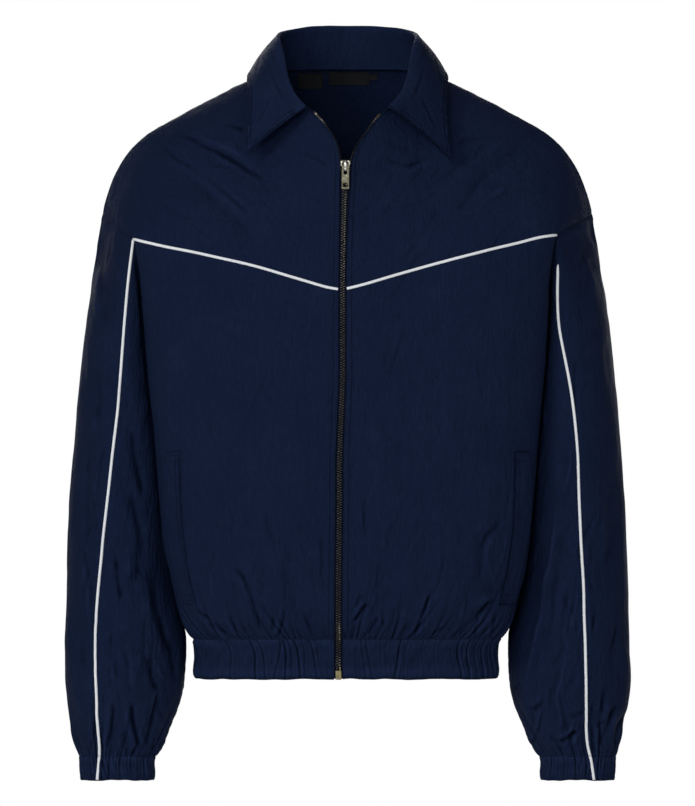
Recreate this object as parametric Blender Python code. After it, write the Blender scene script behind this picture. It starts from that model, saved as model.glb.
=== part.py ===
"""Zipped windbreaker, filled out as when worn and hollow. Lengths are in mm, and in metres on the meshes.

The front faces -Y and up is +Z. The wearer's right is on the -X side. "own x" is the distance from the middle
plane, positive on either side. "drop" is the distance below the level of the neck point.
"""

import math

import bpy
import numpy as np
from mathutils import Vector
from mathutils.bvhtree import BVHTree

for old in list(bpy.data.objects):
    bpy.data.objects.remove(old)

# ---- driving sizes, mm ---------------------------------------------------------------------------------
CLOTH = 1.5            # wall of the panels
DOUBLE = 2.2           # wall of the collar, hem band and cuffs
GAP = 0.3              # between pieces that are sewn together
CLEAR = 4.0            # between a sleeve and the body beside it
HEM_SEAM = 592.0       # drop of the seam above the hem band
HEM_END = 635.0        # drop of the lower edge
UNDERARM = 232.0       # drop of the lowest point of the armhole
YOKE_SIDE = 160.0      # drop at which the yoke seam meets the armhole
CUFF_SEAM = 718.0
CUFF_END = 744.0
SECTION_POWER = 2.4    # how square the body's level section is
HEM_WAVES = 60
CUFF_WAVES = 30
PIPING = 3.4           # width of the piping
PIPING_HEIGHT = 2.0

# counts of the grid
NECK_COLS = 4
SHOULDER_COLS = 8
COLS = NECK_COLS + SHOULDER_COLS
SIDE_ROWS = 11
HOLE_ROWS = 5
TOP_ROWS = 7

# ---- the body's level sections: half widths and depths, by drop ----------------------------------------
# drop, front half width, depth at which it is reached, depth at the middle of the front,
# half width at the side seam, y of the side seam,
# back half width, depth at which it is reached, depth at the middle of the back
TORSO = (
    (120, 238, 84, 120, 202, 6, 232, 86, 121),
    (160, 229, 80, 125, 201, 6, 226, 84, 120),
    (215, 221, 75, 128, 198, 6, 219, 79, 118),
    (232, 220, 72, 129, 196, 6, 217, 77, 117),
    (270, 217, 68, 129, 190, 6, 213, 72, 115),
    (335, 211, 63, 128, 184, 6, 207, 66, 112),
    (389, 206, 60, 127, 182, 6, 202, 62, 110),
    (443, 202, 58, 127, 181, 6, 198, 60, 110),
    (491, 197, 57, 127, 180, 6, 194, 59, 112),
    (518, 193, 56, 127, 178, 6, 190, 57, 113),
    (540, 188, 54, 126, 176, 6, 186, 55, 113),
    (562, 182, 50, 124, 173, 6, 181, 50, 112),
    (578, 176, 46, 119, 170, 6, 175, 46, 109),
    (588, 169, 42, 112, 166, 6, 168, 42, 104),
    (592, 165, 40, 108, 164, 6, 164, 40, 101),
    (635, 162, 38, 105, 161, 6, 161, 38, 98),
)
# drop, y of the armhole's front edge, y of its back edge
ARMHOLE = ((160, -80, 84), (182, -74, 80), (198, -64, 71), (212, -47, 56), (224, -22, 34), (232, 6, 6))
# drop, y at the middle of the front above the yoke seam
CHEST = ((24, -87), (40, -98), (60, -109.5), (86, -118), (112, -120.5), (160, -124.5), (215, -128))
# drop, own x of the zip edge: wearer's right, wearer's left
ZIP_EDGE = (
    (24, 43, 43), (32, 34, 35), (42, 25, 27), (54, 16, 18), (66, 11, 11), (81, 8.5, 6.5), (108, 9.1, 4.3),
    (215, 10.2, 2.4), (635, 13.7, -4.3),
)
# drop, x of the middle of the zip
ZIP_MIDDLE = ((60, -0.3), (86, -0.5), (635, -8.3))
# own x, drop of the yoke seam: wearer's right, wearer's left
YOKE_SEAM = (
    (-5, 217, 217), (12, 215, 214), (52, 203, 200), (96, 190, 187), (151, 177, 172), (212, 163, 162),
    (229, 160, 160),
)
# neckline: own x, y, height above the neck point level
NECKLINE = (
    (43, -87, -26), (61, -68, -10), (76, -45, 2), (86, -20, 10), (89, 0, 14),
    (88, 22, 16), (80, 42, 18), (62, 60, 20), (34, 73, 21), (0, 78, 21),
)
# shoulder seam, from the neckline to the armhole's top
SHOULDER = (
    (89, 0, 14), (114, -4, 3), (149, -8, -14.5), (184, -9, -33.5), (218, -9, -53.5), (235, -8, -70),
    (246.5, -5, -88), (255.5, -1, -108.5), (260.5, 3, -124), (263.5, 6, -137),
)
# drop, own x outside, own x inside, y of the middle, half depth, own x of the piping (wearer's right, left)
SLEEVE = (
    (272, 283, 194, 8, 80, 240, 232),
    (335, 289.5, 191, 10, 79, 245, 243),
    (389, 294, 189, 10, 77, 251, 248.5),
    (443, 298, 187, 9, 74, 257, 250.5),
    (497, 300, 186, 8, 71, 263, 253),
    (540, 301.5, 182, 6, 68, 267, 255.5),
    (567, 302, 177, 5, 65, 269, 256),
    (594, 303, 172.5, 4, 62, 270, 257),
    (616, 303.5, 173, 4, 60, 270, 257.5),
    (643, 303.5, 175, 3, 57, 270, 258),
    (657, 302, 178, 3, 54, 269, 258),
    (670, 300, 182.5, 3, 50, 269, 257.5),
    (683, 297, 188, 3, 46, 268, 257),
    (696, 295, 193, 3, 42, 267, 257),
    (708, 291.5, 198.5, 3, 37.5, 266, 258),
    (718, 288, 206, 3, 33, 266, 260),
    (744, 286.5, 207, 3, 31, 268, 264),
)
SLEEVE_DROPS = (272, 308, 345, 385, 425, 465, 505, 542, 575, 606, 636, 662, 684, 702, 718)
HEAD_ROWS = 3          # rows of the sleeve between the armhole and its first level ring

# collar: own x, y, height of the fold line and of the leaf's edge, front to middle of the back
FOLD = (
    (45, -93, -21), (56, -83, -9), (65, -66, 10), (70, -44, 34), (75, -16, 53), (73, 16, 60.5),
    (59, 45, 65), (32, 63, 68.5), (0, 70, 69),
)
LEAF_EDGE = (
    (109, -108, -74), (107, -92, -45), (106, -66, -14), (107, -35, 4), (107, -5, 9), (105, 24, 10),
    (94, 58, 8), (55, 90, 3), (0, 101, 0),
)
COLLAR_COLS = 14
FOLD_RADIUS = 3.0

# main folds of the cloth: x and drop at one end, x and drop at the other, height (a trough is negative),
# half width, and the face: -1 is the front, 1 the back
FOLDS = (
    (-190, 40, -80, 108, -3.0, 13, -1),
    (-205, 62, -105, 138, -2.5, 13, -1),
    (-176, 98, -86, 175, -3.0, 20, -1),
    (205, 66, 100, 135, -3.0, 15, -1),
    (190, 100, 90, 165, -2.5, 18, -1),
    (86, 80, 40, 88, -2.5, 12, -1),
    (-150, 500, -128, 580, -3.0, 12, -1),
    (-114, 510, -86, 588, -3.5, 12, -1),
    (-60, 530, -40, 585, -2.5, 12, -1),
    (166, 545, 112, 588, -4.0, 15, -1),
    (85, 540, 67, 588, -3.0, 12, -1),
    (40, 520, 30, 585, -2.5, 12, -1),
    (-140, 120, -60, 200, -3.0, 24, 1),
    (140, 120, 60, 200, -3.0, 24, 1),
    (-130, 520, -110, 588, -3.0, 14, 1),
    (-70, 500, -64, 588, -3.0, 14, 1),
    (0, 520, 6, 588, -3.0, 14, 1),
    (66, 505, 60, 588, -3.0, 14, 1),
    (135, 525, 115, 588, -3.0, 14, 1),
    # across the sleeves
    (-240, 350, -222, 420, -3.5, 14, -1),
    (-236, 425, -228, 500, -3.5, 14, -1),
    (-250, 510, -240, 560, -3.0, 13, -1),
    (-205, 520, -190, 650, -4.0, 16, -1),
    (-262, 640, -250, 700, -2.5, 12, -1),
    (225, 440, 232, 560, -3.0, 14, -1),
    (205, 560, 212, 660, -3.5, 14, -1),
    (274, 680, 262, 708, -2.5, 11, -1),
    (290, 420, 280, 520, -2.5, 14, -1),
    (-245, 380, -220, 450, -3.0, 16, 1),
    (245, 380, 220, 450, -3.0, 16, 1),
    (-240, 560, -230, 660, -3.0, 16, 1),
    (240, 560, 230, 660, -3.0, 16, 1),
)


def spline(table, key):
    """A smooth curve through a table whose first column is the key."""
    t = np.asarray(table, float)
    k, v = t[:, 0], t[:, 1:]
    x = np.clip(np.asarray(key, float), k[0], k[-1])
    m = np.gradient(v, k, axis=0)
    i = np.clip(np.searchsorted(k, x, side="right") - 1, 0, len(k) - 2)
    h = (k[i + 1] - k[i])[..., None]
    s = (x - k[i])[..., None] / h
    a = (1 + 2 * s) * (1 - s) ** 2
    b = s * (1 - s) ** 2
    return a * v[i] + b * h * m[i] + (1 - a) * v[i + 1] - s * s * (1 - s) * h * m[i + 1]


def along(points, count, start=0.0, end=1.0):
    """Points at even steps along a smooth curve through a few points."""
    p = np.asarray(points, float)
    knots = np.r_[0, np.cumsum(np.linalg.norm(np.diff(p, axis=0), axis=1))]
    dense = spline(np.c_[knots, p], np.linspace(0, knots[-1], 240))
    arc = np.r_[0, np.cumsum(np.linalg.norm(np.diff(dense, axis=0), axis=1))]
    at = np.linspace(start, end, count + 1) * arc[-1]
    return np.stack([np.interp(at, arc, dense[:, i]) for i in range(3)], axis=1)


def smoothstep(s):
    s = np.clip(s, 0, 1)
    return s * s * (3 - 2 * s)


def unit(v):
    return v / np.maximum(np.linalg.norm(v, axis=-1, keepdims=True), 1e-9)


def half_section(drop, back=False):
    """Half of a level section, from the middle of the front or back to the side seam: own x, y, arc length."""
    w, c, d, ws, ys, wb, cb, db = spline(TORSO, drop)
    if back:
        w, c, d, ys = wb, cb, db, -ys
    t = np.linspace(0, math.pi / 2, 41)
    x = w * np.sin(t) ** (2 / SECTION_POWER)
    y = c + (d - c) * np.cos(t) ** (2 / SECTION_POWER)
    s = np.linspace(0, 1, 21)[1:]
    x = np.r_[x, w + (ws - w) * smoothstep(s)]
    y = np.r_[y, c - (c + ys) * s]
    arc = np.r_[0, np.cumsum(np.hypot(np.diff(x), np.diff(y)))]
    return x, y if back else -y, arc


def on_section(drop, p, back=False):
    """The point of a level section at a signed arc length from the middle."""
    x, y, arc = half_section(drop, back)
    own = np.interp(abs(p), arc, x)
    return np.array([math.copysign(own, p) if p else 0.0, np.interp(abs(p), arc, y), -drop])


def section_end(drop, back=False):
    """Arc length at which the section meets the side seam, or the armhole above it."""
    x, y, arc = half_section(drop, back)
    if drop >= UNDERARM:
        return arc[-1]
    edge = spline(ARMHOLE, drop)[1 if back else 0]
    tail = slice(38, None)
    key, val = (-y[tail], arc[tail]) if back else (y[tail], arc[tail])
    return np.interp(-edge if back else edge, key, val)


def body_half_width(drop, y):
    """Half width of the body at a depth, for keeping a sleeve clear of it."""
    x, yy, _ = half_section(drop, back=y > 6)
    return float(np.interp(-y, -yy, x)) if y > 6 else float(np.interp(y, yy, x))


def side_index(side):
    return 0 if side < 0 else 1


def zip_edge(drop, side):
    return float(spline(ZIP_EDGE, drop)[side_index(side)])


SIDE_DROPS = np.r_[
    np.linspace(HEM_SEAM, UNDERARM, SIDE_ROWS + 1),
    np.linspace(UNDERARM, YOKE_SIDE, HOLE_ROWS + 1)[1:],
]
# the first rows are closer together, where the cloth turns in to the hem band
SIDE_DROPS[:SIDE_ROWS + 1] = HEM_SEAM - (HEM_SEAM - UNDERARM) * np.linspace(0, 1, SIDE_ROWS + 1) ** 1.35
COL_U = np.linspace(0, 1, COLS + 1)


def lower_front(side):
    """Grid of a lower front, hem seam to yoke seam and zip to side."""
    grid = np.zeros((len(SIDE_DROPS), COLS + 1, 3))
    for j, u in enumerate(COL_U):
        seam = 190.0
        for _ in range(6):
            p = zip_edge(seam, side) + u * (section_end(seam) - zip_edge(seam, side))
            seam = float(spline(YOKE_SEAM, on_section(seam, p)[0])[side_index(side)])
        if j == COLS:
            seam = YOKE_SIDE
        for r, d in enumerate(SIDE_DROPS):
            f = (HEM_SEAM - d) / (HEM_SEAM - YOKE_SIDE)
            drop = HEM_SEAM - f * (HEM_SEAM - seam)
            p0 = zip_edge(drop, side)
            grid[r, j] = on_section(drop, p0 + u * (section_end(drop) - p0))
    return grid * (side, 1, 1)


def shoulder_row():
    neck = along(NECKLINE[:5], NECK_COLS)
    return np.r_[neck, along(SHOULDER, SHOULDER_COLS)[1:]]


def hermite(a, b, ta, tb, v):
    v = v[:, None, None]
    w = 1 - v
    return (1 + 2 * v) * w * w * a + v * w * w * ta + v * v * (3 - 2 * v) * b - v * v * w * tb


def yoke(side, seam_row):
    """Grid of a front yoke, from its seam over the chest to the shoulder seam."""
    low = seam_row * (side, 1, 1)
    top = shoulder_row()
    d = top - low
    lift = np.interp(COL_U, (0, 0.33, 1), (1.0, 1.2, 1.0))
    back = np.interp(COL_U, (0, 0.33, 1), (1.0, 1.3, 1.35))
    rise = np.interp(COL_U, (0, 0.2, 0.33, 0.5, 0.8, 1), (d[0, 2], 100, 55, 34, 26, d[-1, 2]))
    lean = 0.15 * d[:, 2] + 0.3 * d[:, 1] * COL_U ** 3
    ta = np.stack([d[:, 0], lean, lift * d[:, 2]], axis=1)
    tb = np.stack([d[:, 0], back * d[:, 1], rise], axis=1)
    v = np.linspace(0, 1, TOP_ROWS + 1)
    grid = hermite(low, top, ta, tb, v)
    drops = low[0, 2] * -1 + (low[0, 2] - top[0, 2]) * v
    zip_x = spline(ZIP_EDGE, drops)[:, side_index(side)]
    want = np.stack([zip_x, spline(CHEST, drops)[:, 0], -drops], axis=1)
    want[0], want[-1] = low[0], top[0]
    grid += (want - grid[:, 0])[:, None] * ((1 - COL_U) ** 2.5)[None, :, None]
    return grid * (side, 1, 1)


def back():
    """Grid of the whole back, hem seam to shoulder seams, from the wearer's right to the left."""
    half = np.zeros((len(SIDE_DROPS), COLS + 1, 3))
    for r, drop in enumerate(SIDE_DROPS):
        end = section_end(drop, back=True)
        for j, u in enumerate(COL_U):
            half[r, j] = on_section(drop, u * end, back=True)
    top = np.r_[along(NECKLINE[4:], NECK_COLS)[::-1], along(SHOULDER, SHOULDER_COLS)[1:]]
    low = half[-1]
    d = top - low
    lift = np.interp(COL_U, (0, 0.33, 1), (1.15, 1.15, 1.0))
    forward = np.interp(COL_U, (0, 0.33, 1), (1.5, 1.35, 1.3))
    rise = np.interp(COL_U, (0, 0.2, 0.33, 0.5, 0.8, 1), (120, 60, 5, -25, -18, d[-1, 2]))
    lean = np.interp(COL_U, (0, 1), (8, 0)) + 0.3 * d[:, 1] * COL_U ** 3
    ta = np.stack([d[:, 0], lean, lift * d[:, 2]], axis=1)
    tb = np.stack([d[:, 0], forward * d[:, 1], rise], axis=1)
    upper = hermite(low, top, ta, tb, np.linspace(0, 1, TOP_ROWS + 1))
    half = np.r_[half, upper[1:]]
    mirrored = half[:, ::-1] * (-1, 1, 1)
    return np.concatenate([mirrored, half[:, 1:]], axis=1)


def sleeve_ring(drop, side, counts):
    """A level ring of a sleeve, from under the arm by the front, the piping, the outside and the back."""
    out, inn, mid, deep, *stripe = spline(SLEEVE, drop)
    cx, a = (out + inn) / 2, (out - inn) / 2
    at = math.acos(np.clip((cx - stripe[side_index(side)]) / a, -0.95, 0.95))
    turns = np.r_[np.linspace(0, at, counts[0] + 1), np.linspace(at, 2 * math.pi, counts[1] + 1)[1:]]
    x, y = cx - a * np.cos(turns), mid - deep * np.sin(turns)
    return np.stack([x, y, np.full(len(turns), -drop)], axis=1)


def sleeve(side, loop):
    """Grid of a sleeve, armhole to cuff seam, round from under the arm."""
    counts = (HOLE_ROWS, len(loop) - 1 - HOLE_ROWS)
    loop = loop * (side, 1, 1)
    rings = [sleeve_ring(d, side, counts) for d in SLEEVE_DROPS]
    high = (loop[:, 2] - loop[:, 2].min()) / np.ptp(loop[:, 2])
    chord = np.linalg.norm(rings[0] - loop, axis=1)[:, None]
    start = unit(np.stack([0.04 + 0.12 * high, 0 * high, -np.ones(len(loop))], axis=1)) * chord
    end = unit(rings[1] - rings[0]) * chord
    rows = [loop]
    for v in np.linspace(0, 1, HEAD_ROWS + 2)[1:-1]:
        rows.append(hermite(loop, rings[0], start, end, np.array([v]))[0])
    rows += rings
    grid = np.array(rows)
    for r in range(1, len(grid)):
        for j in range(grid.shape[1]):
            x, y, z = grid[r, j]
            away = CLEAR * min(1.0, np.linalg.norm(grid[r, j] - grid[0, j]) / 7)
            if -z < HEM_SEAM:
                grid[r, j, 0] = max(x, body_half_width(-z, y) + away)
    return grid * (side, 1, 1)


# ---- meshes --------------------------------------------------------------------------------------------

def facing(grid, axis):
    """Cell normals of a grid, turned to point away from an axis."""
    n = np.cross(grid[1:, 1:] - grid[:-1, :-1], grid[:-1, 1:] - grid[1:, :-1])
    mid = (grid[1:, 1:] + grid[:-1, :-1]) / 2
    return n if np.sum(n * (mid - axis)) > 0 else -n


def shared_normals(grids, axes):
    """Normals at the points of several grids, averaged where grids share a point."""
    total = {}
    keys = {}
    for name, grid in grids.items():
        cells = facing(grid, axes[name])
        acc = np.zeros_like(grid)
        acc[:-1, :-1] += cells
        acc[1:, :-1] += cells
        acc[:-1, 1:] += cells
        acc[1:, 1:] += cells
        keys[name] = [[tuple(np.round(p, 3) + 0.0) for p in row] for row in grid]
        for row, sums in zip(keys[name], acc):
            for key, s in zip(row, sums):
                total[key] = total.get(key, 0) + s
    return {name: unit(np.array([[total[k] for k in row] for row in rows])) for name, rows in keys.items()}


def own_normals(grid, axis):
    """Normals of one grid by itself."""
    return shared_normals({"own": grid}, {"own": axis})["own"]


def fold_height(p):
    """How far the folds move a point of the cloth out."""
    x, y, z = p[..., 0], p[..., 1], p[..., 2]
    height = np.zeros(x.shape)
    for x0, d0, x1, d1, amount, width, face in FOLDS:
        a = np.array([x0, -d0])
        b = np.array([x1, -d1]) - a
        s = np.clip(((x - a[0]) * b[0] + (z - a[1]) * b[1]) / (b @ b), 0, 1)
        off = np.hypot(x - a[0] - s * b[0], z - a[1] - s * b[1])
        facing_it = smoothstep(face * y / 30)
        height += amount * np.exp(-(off / width) ** 2) * facing_it
    return height * smoothstep((HEM_SEAM + z) / 14 + (np.abs(x) > 180) * 9)


def inset(grid, amount, sides):
    """Pulls edges of a grid in along the cloth: r is the first row, R the last, c and C the columns."""
    g = grid.copy()
    for s in sides:
        edge, inner = {"r": (0, 1), "R": (-1, -2), "c": (0, 1), "C": (-1, -2)}[s]
        if s in "rR":
            g[edge] += unit(g[inner] - g[edge]) * amount
        else:
            g[:, edge] += unit(g[:, inner] - g[:, edge]) * amount
    return g


def add_mesh(name, verts, faces, material):
    v = np.asarray(verts, float)
    tri = np.array([(f[0], f[k], f[k + 1]) for f in faces for k in range(1, len(f) - 1)])
    volume = np.einsum("ij,ij->i", v[tri[:, 0]], np.cross(v[tri[:, 1]], v[tri[:, 2]])).sum()
    if volume < 0:
        tri = tri[:, ::-1]
    mesh = bpy.data.meshes.new(name)
    mesh.from_pydata([tuple(p) for p in v / 1000], [], [tuple(int(i) for i in f) for f in tri])
    mesh.materials.append(material)
    ob = bpy.data.objects.new(name, mesh)
    bpy.context.collection.objects.link(ob)
    return ob


def wall(name, outer, inner, material, round_cols=False):
    """A closed solid between two grids of the same size."""
    rows, cols = outer.shape[:2]
    n = rows * cols
    verts = np.concatenate([outer.reshape(-1, 3), inner.reshape(-1, 3)])
    faces = []
    last = cols if round_cols else cols - 1
    for r in range(rows - 1):
        for c in range(last):
            a, b = r * cols + c, r * cols + (c + 1) % cols
            d, e = a + cols, b + cols
            # each cell is split along its shorter diagonal
            if np.linalg.norm(verts[a] - verts[e]) <= np.linalg.norm(verts[b] - verts[d]):
                faces += [(a, b, e), (a, e, d), (n + a, n + e, n + b), (n + a, n + d, n + e)]
            else:
                faces += [(a, b, d), (b, e, d), (n + a, n + d, n + b), (n + b, n + d, n + e)]
    for c in range(last):
        a, b = c, (c + 1) % cols
        faces += [(b, a, n + a), (b, n + a, n + b)]
        a, b = a + (rows - 1) * cols, b + (rows - 1) * cols
        faces += [(a, b, n + b), (a, n + b, n + a)]
    if not round_cols:
        for r in range(rows - 1):
            a, b = r * cols, (r + 1) * cols
            faces += [(a, b, n + b), (a, n + b, n + a)]
            a, b = a + cols - 1, b + cols - 1
            faces += [(b, a, n + a), (b, n + a, n + b)]
    return add_mesh(name, verts, faces, material)


def panel(name, grid, normals, material, sides):
    outer = inset(grid, GAP / 2, sides)
    inner = inset(grid - normals * CLOTH, GAP / 2, sides)
    return wall(name, outer, inner, material)


def ribbon(name, path, up, across, width, height, gap, material):
    """A low rounded strip on the cloth along a path; up is the cloth's normal, across lies in the cloth."""
    shape = ((-0.5, 0.0), (-0.42, 0.62), (0.0, 1.0), (0.42, 0.62), (0.5, 0.0), (0.0, 0.0))
    ring = [path + across * (s * width) + up * (gap + h * height) for s, h in shape]
    g = np.stack(ring, axis=1)
    rows, cols = g.shape[:2]
    faces = []
    for r in range(rows - 1):
        for c in range(cols):
            a, b = r * cols + c, r * cols + (c + 1) % cols
            faces += [(a, b, b + cols), (a, b + cols, a + cols)]
    faces.append(tuple(range(cols))[::-1])
    faces.append(tuple((rows - 1) * cols + c for c in range(cols)))
    return add_mesh(name, g.reshape(-1, 3), faces, material)


def material(name, color, rough, metal=0.0):
    m = bpy.data.materials.new(name)
    m.use_nodes = True
    bsdf = m.node_tree.nodes["Principled BSDF"]
    bsdf.inputs["Base Color"].default_value = (*color, 1)
    bsdf.inputs["Roughness"].default_value = rough
    bsdf.inputs["Metallic"].default_value = metal
    return m


NAVY = material("shell_cloth", (0.0065, 0.0115, 0.033), 0.75)
WHITE = material("piping_cloth", (0.80, 0.81, 0.82), 0.7)
BLACK = material("tape_cloth", (0.012, 0.012, 0.014), 0.85)
SILVER = material("slider_metal", (0.62, 0.60, 0.56), 0.35, 1.0)
BRASS = material("box_metal", (0.48, 0.36, 0.18), 0.4, 1.0)
LABEL = material("label_cloth", (0.014, 0.014, 0.016), 0.8)


def hole_row(of, side, who):
    """The armhole's row of points or normals, from under the arm up the front, over and down the back."""
    front, top, rear = of["front_" + who], of["yoke_" + who], of["back"]
    rear = rear[:, 0] if side < 0 else rear[:, -1]
    return np.r_[front[SIDE_ROWS:, -1], top[1:, -1], rear[::-1][1:TOP_ROWS + HOLE_ROWS + 1]]


# ---- the shell -----------------------------------------------------------------------------------------
grids = {}
axes = {}
for side, who in ((-1, "right"), (1, "left")):
    grids["front_" + who] = lower_front(side)
    grids["yoke_" + who] = yoke(side, grids["front_" + who][-1])
grids["back"] = back()
for name in grids:
    axes[name] = np.array([0.0, 0.0, -250.0]) if "yoke" in name else np.array([0.0, 0.0, -380.0])

for side, who in ((-1, "right"), (1, "left")):
    grids["sleeve_" + who] = sleeve(side, hole_row(grids, side, who))
    axes["sleeve_" + who] = np.array([side * 240.0, 8.0, -450.0])

base_normals = shared_normals(grids, axes)
for name in grids:
    g = grids[name]
    grids[name] = g + base_normals[name] * fold_height(g)[..., None]
    if "sleeve" in name:
        grids[name][:, -1] = grids[name][:, 0]
normals = shared_normals(grids, axes)

# under the arm the two walls turn back on each other, so they meet in a mitre and the sleeve's edge
# is moved off the body's
own = {name: own_normals(grids[name], axes[name]) for name in grids}
for side, who in ((-1, "right"), (1, "left")):
    body, arm = hole_row(own, side, who), own["sleeve_" + who][0]
    turn = (1 - np.sum(body * arm, axis=1, keepdims=True)) / 2
    mitre = unit(body + arm + turn * np.array([0.0, 0.0, -0.8]))
    size = np.linalg.norm(body - arm, axis=1, keepdims=True)
    grids["sleeve_" + who][0] += unit(body - arm) * np.minimum(1, size / 0.5) * 1.5 * GAP
    normals["sleeve_" + who][0] = mitre
    normals["front_" + who][SIDE_ROWS:, -1] = mitre[:HOLE_ROWS + 1]
    normals["yoke_" + who][:, -1] = mitre[HOLE_ROWS:HOLE_ROWS + TOP_ROWS + 1]
    normals["back"][SIDE_ROWS:, 0 if side < 0 else -1] = mitre[HOLE_ROWS + TOP_ROWS:][::-1]

for side, who in ((-1, "right"), (1, "left")):
    panel("front_" + who, grids["front_" + who], normals["front_" + who], NAVY, "rRC")
    panel("yoke_" + who, grids["yoke_" + who], normals["yoke_" + who], NAVY, "rRC")
    g, n = grids["sleeve_" + who], normals["sleeve_" + who]
    panel("sleeve_" + who + "_front", g[:, :HOLE_ROWS + 1], n[:, :HOLE_ROWS + 1], NAVY, "rRcC")
    panel("sleeve_" + who + "_back", g[:, HOLE_ROWS:], n[:, HOLE_ROWS:], NAVY, "rRcC")
panel("back", grids["back"], normals["back"], NAVY, "rRcC")


def cell_point(grid, r, c):
    """A point of a grid, or of its normals, between rows and columns."""
    r0 = int(min(r, grid.shape[0] - 1.001))
    c0 = int(min(c, grid.shape[1] - 1.001))
    a, b = r - r0, c - c0
    low = grid[r0, c0] * (1 - b) + grid[r0, c0 + 1] * b
    high = grid[r0 + 1, c0] * (1 - b) + grid[r0 + 1, c0 + 1] * b
    return low * (1 - a) + high * a


def find_cell(grid, x, z, columns):
    """Row and column at which a grid passes a place seen from the front; x grows over the columns given."""
    c0, c1 = columns
    c = (c0 + c1) / 2
    for _ in range(12):
        heights = np.array([cell_point(grid, r, c)[2] for r in range(grid.shape[0])])
        r = float(np.interp(z, heights, np.arange(grid.shape[0])))
        across = np.array([cell_point(grid, r, k)[0] for k in range(c0, c1 + 1)])
        c = float(np.interp(x, across, np.arange(c0, c1 + 1)))
    return r, c


def patch(name, source, places, low, high, material, flip=1):
    """A thin piece on a panel: places is a grid of (x, z), low and high its distances off the cloth."""
    grid, normal, columns = source
    bottom = np.zeros((len(places), len(places[0]), 3))
    top = bottom.copy()
    for i, row in enumerate(places):
        for j, (x, z) in enumerate(row):
            r, c = find_cell(grid, x, z, columns)
            at, n = cell_point(grid, r, c), unit(cell_point(normal, r, c)) * flip
            bottom[i, j], top[i, j] = at + n * low, at + n * high
    return wall(name, top, bottom, material)


# ---- hem band ------------------------------------------------------------------------------------------

def waves(count, per_wave):
    """Uneven gathers: how far each column stands out, from -1 to 1."""
    k = np.arange(count * per_wave + 1)
    turn = 2 * math.pi * k / per_wave + 0.55 * np.sin(0.21 * k) + 0.4 * np.sin(0.093 * k + 1)
    return np.cos(turn) * (0.72 + 0.28 * np.sin(0.37 * k + 0.6))


def hem_ring(drop, cols):
    """The level line of the band, from the wearer's right zip edge round the back to the left."""
    halves = []
    for side in (-1, 1):
        x, y, _ = half_section(drop)
        keep = x > zip_edge(drop, side) + 0.5
        x, y = np.r_[zip_edge(drop, side), x[keep]], np.r_[y[0], y[keep]]
        xb, yb, _ = half_section(drop, back=True)
        halves.append(np.c_[np.r_[x, xb[::-1][1:]] * side, np.r_[y, yb[::-1][1:]]])
    line = np.r_[halves[0], halves[1][::-1][1:]]
    arc = np.r_[0, np.cumsum(np.linalg.norm(np.diff(line, axis=0), axis=1))]
    at = np.linspace(0, arc[-1], cols + 1)
    p = np.stack([np.interp(at, arc, line[:, 0]), np.interp(at, arc, line[:, 1])], axis=1)
    t = unit(np.gradient(p, axis=0))
    n = np.c_[t[:, 1], -t[:, 0]]
    n *= np.sign(np.sum(n * p, axis=1))[:, None]
    flat = smoothstep((at - 6) / 16) * smoothstep((arc[-1] - at - 6) / 16)
    return p, n, flat


def hem_band():
    cols = HEM_WAVES * 3
    out = waves(HEM_WAVES, 3)
    outer, inner = [], []
    for drop, amount in ((HEM_SEAM + GAP / 2, 1.0), (614, 1.5), (HEM_END, 1.1)):
        p, n, flat = hem_ring(drop, cols)
        q = p + n * (out * amount * flat)[:, None]
        z = np.full((cols + 1, 1), -drop)
        outer.append(np.c_[q, z])
        inner.append(np.c_[q - n * DOUBLE, z])
    return wall("hem_band", np.array(outer), np.array(inner), NAVY)


hem_band()


# ---- cuffs ---------------------------------------------------------------------------------------------

def cuff(name, side):
    cols = CUFF_WAVES * 3
    out = waves(CUFF_WAVES, 3)[:-1]
    turn = np.linspace(0, 2 * math.pi, cols + 1)[:-1]
    outer, inner = [], []
    for drop, amount in ((CUFF_SEAM + GAP / 2, 0.7), (731, 1.1), (CUFF_END, 0.8)):
        far, near, mid, deep = spline(SLEEVE, drop)[:4]
        cx, a = (far + near) / 2, (far - near) / 2
        p = np.stack([cx - a * np.cos(turn), mid - deep * np.sin(turn)], axis=1)
        n = unit(np.stack([-np.cos(turn) * deep, -np.sin(turn) * a], axis=1))
        q = p + n * (out * amount)[:, None]
        z = np.full((cols, 1), -drop)
        outer.append(np.c_[q, z] * (side, 1, 1))
        inner.append(np.c_[q - n * DOUBLE, z] * (side, 1, 1))
    return wall(name, np.array(outer), np.array(inner), NAVY, round_cols=True)


cuff("cuff_right", -1)
cuff("cuff_left", 1)


# ---- piping --------------------------------------------------------------------------------------------

def piping(name, path, up, gap, trim):
    path = path.copy()
    path[0] += unit(path[1] - path[0]) * trim[0]
    path[-1] += unit(path[-2] - path[-1]) * trim[1]
    along_it = unit(np.gradient(path, axis=0))
    across = unit(np.cross(up, along_it))
    return ribbon(name, path, up, across, PIPING, PIPING_HEIGHT, gap, WHITE)


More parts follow.
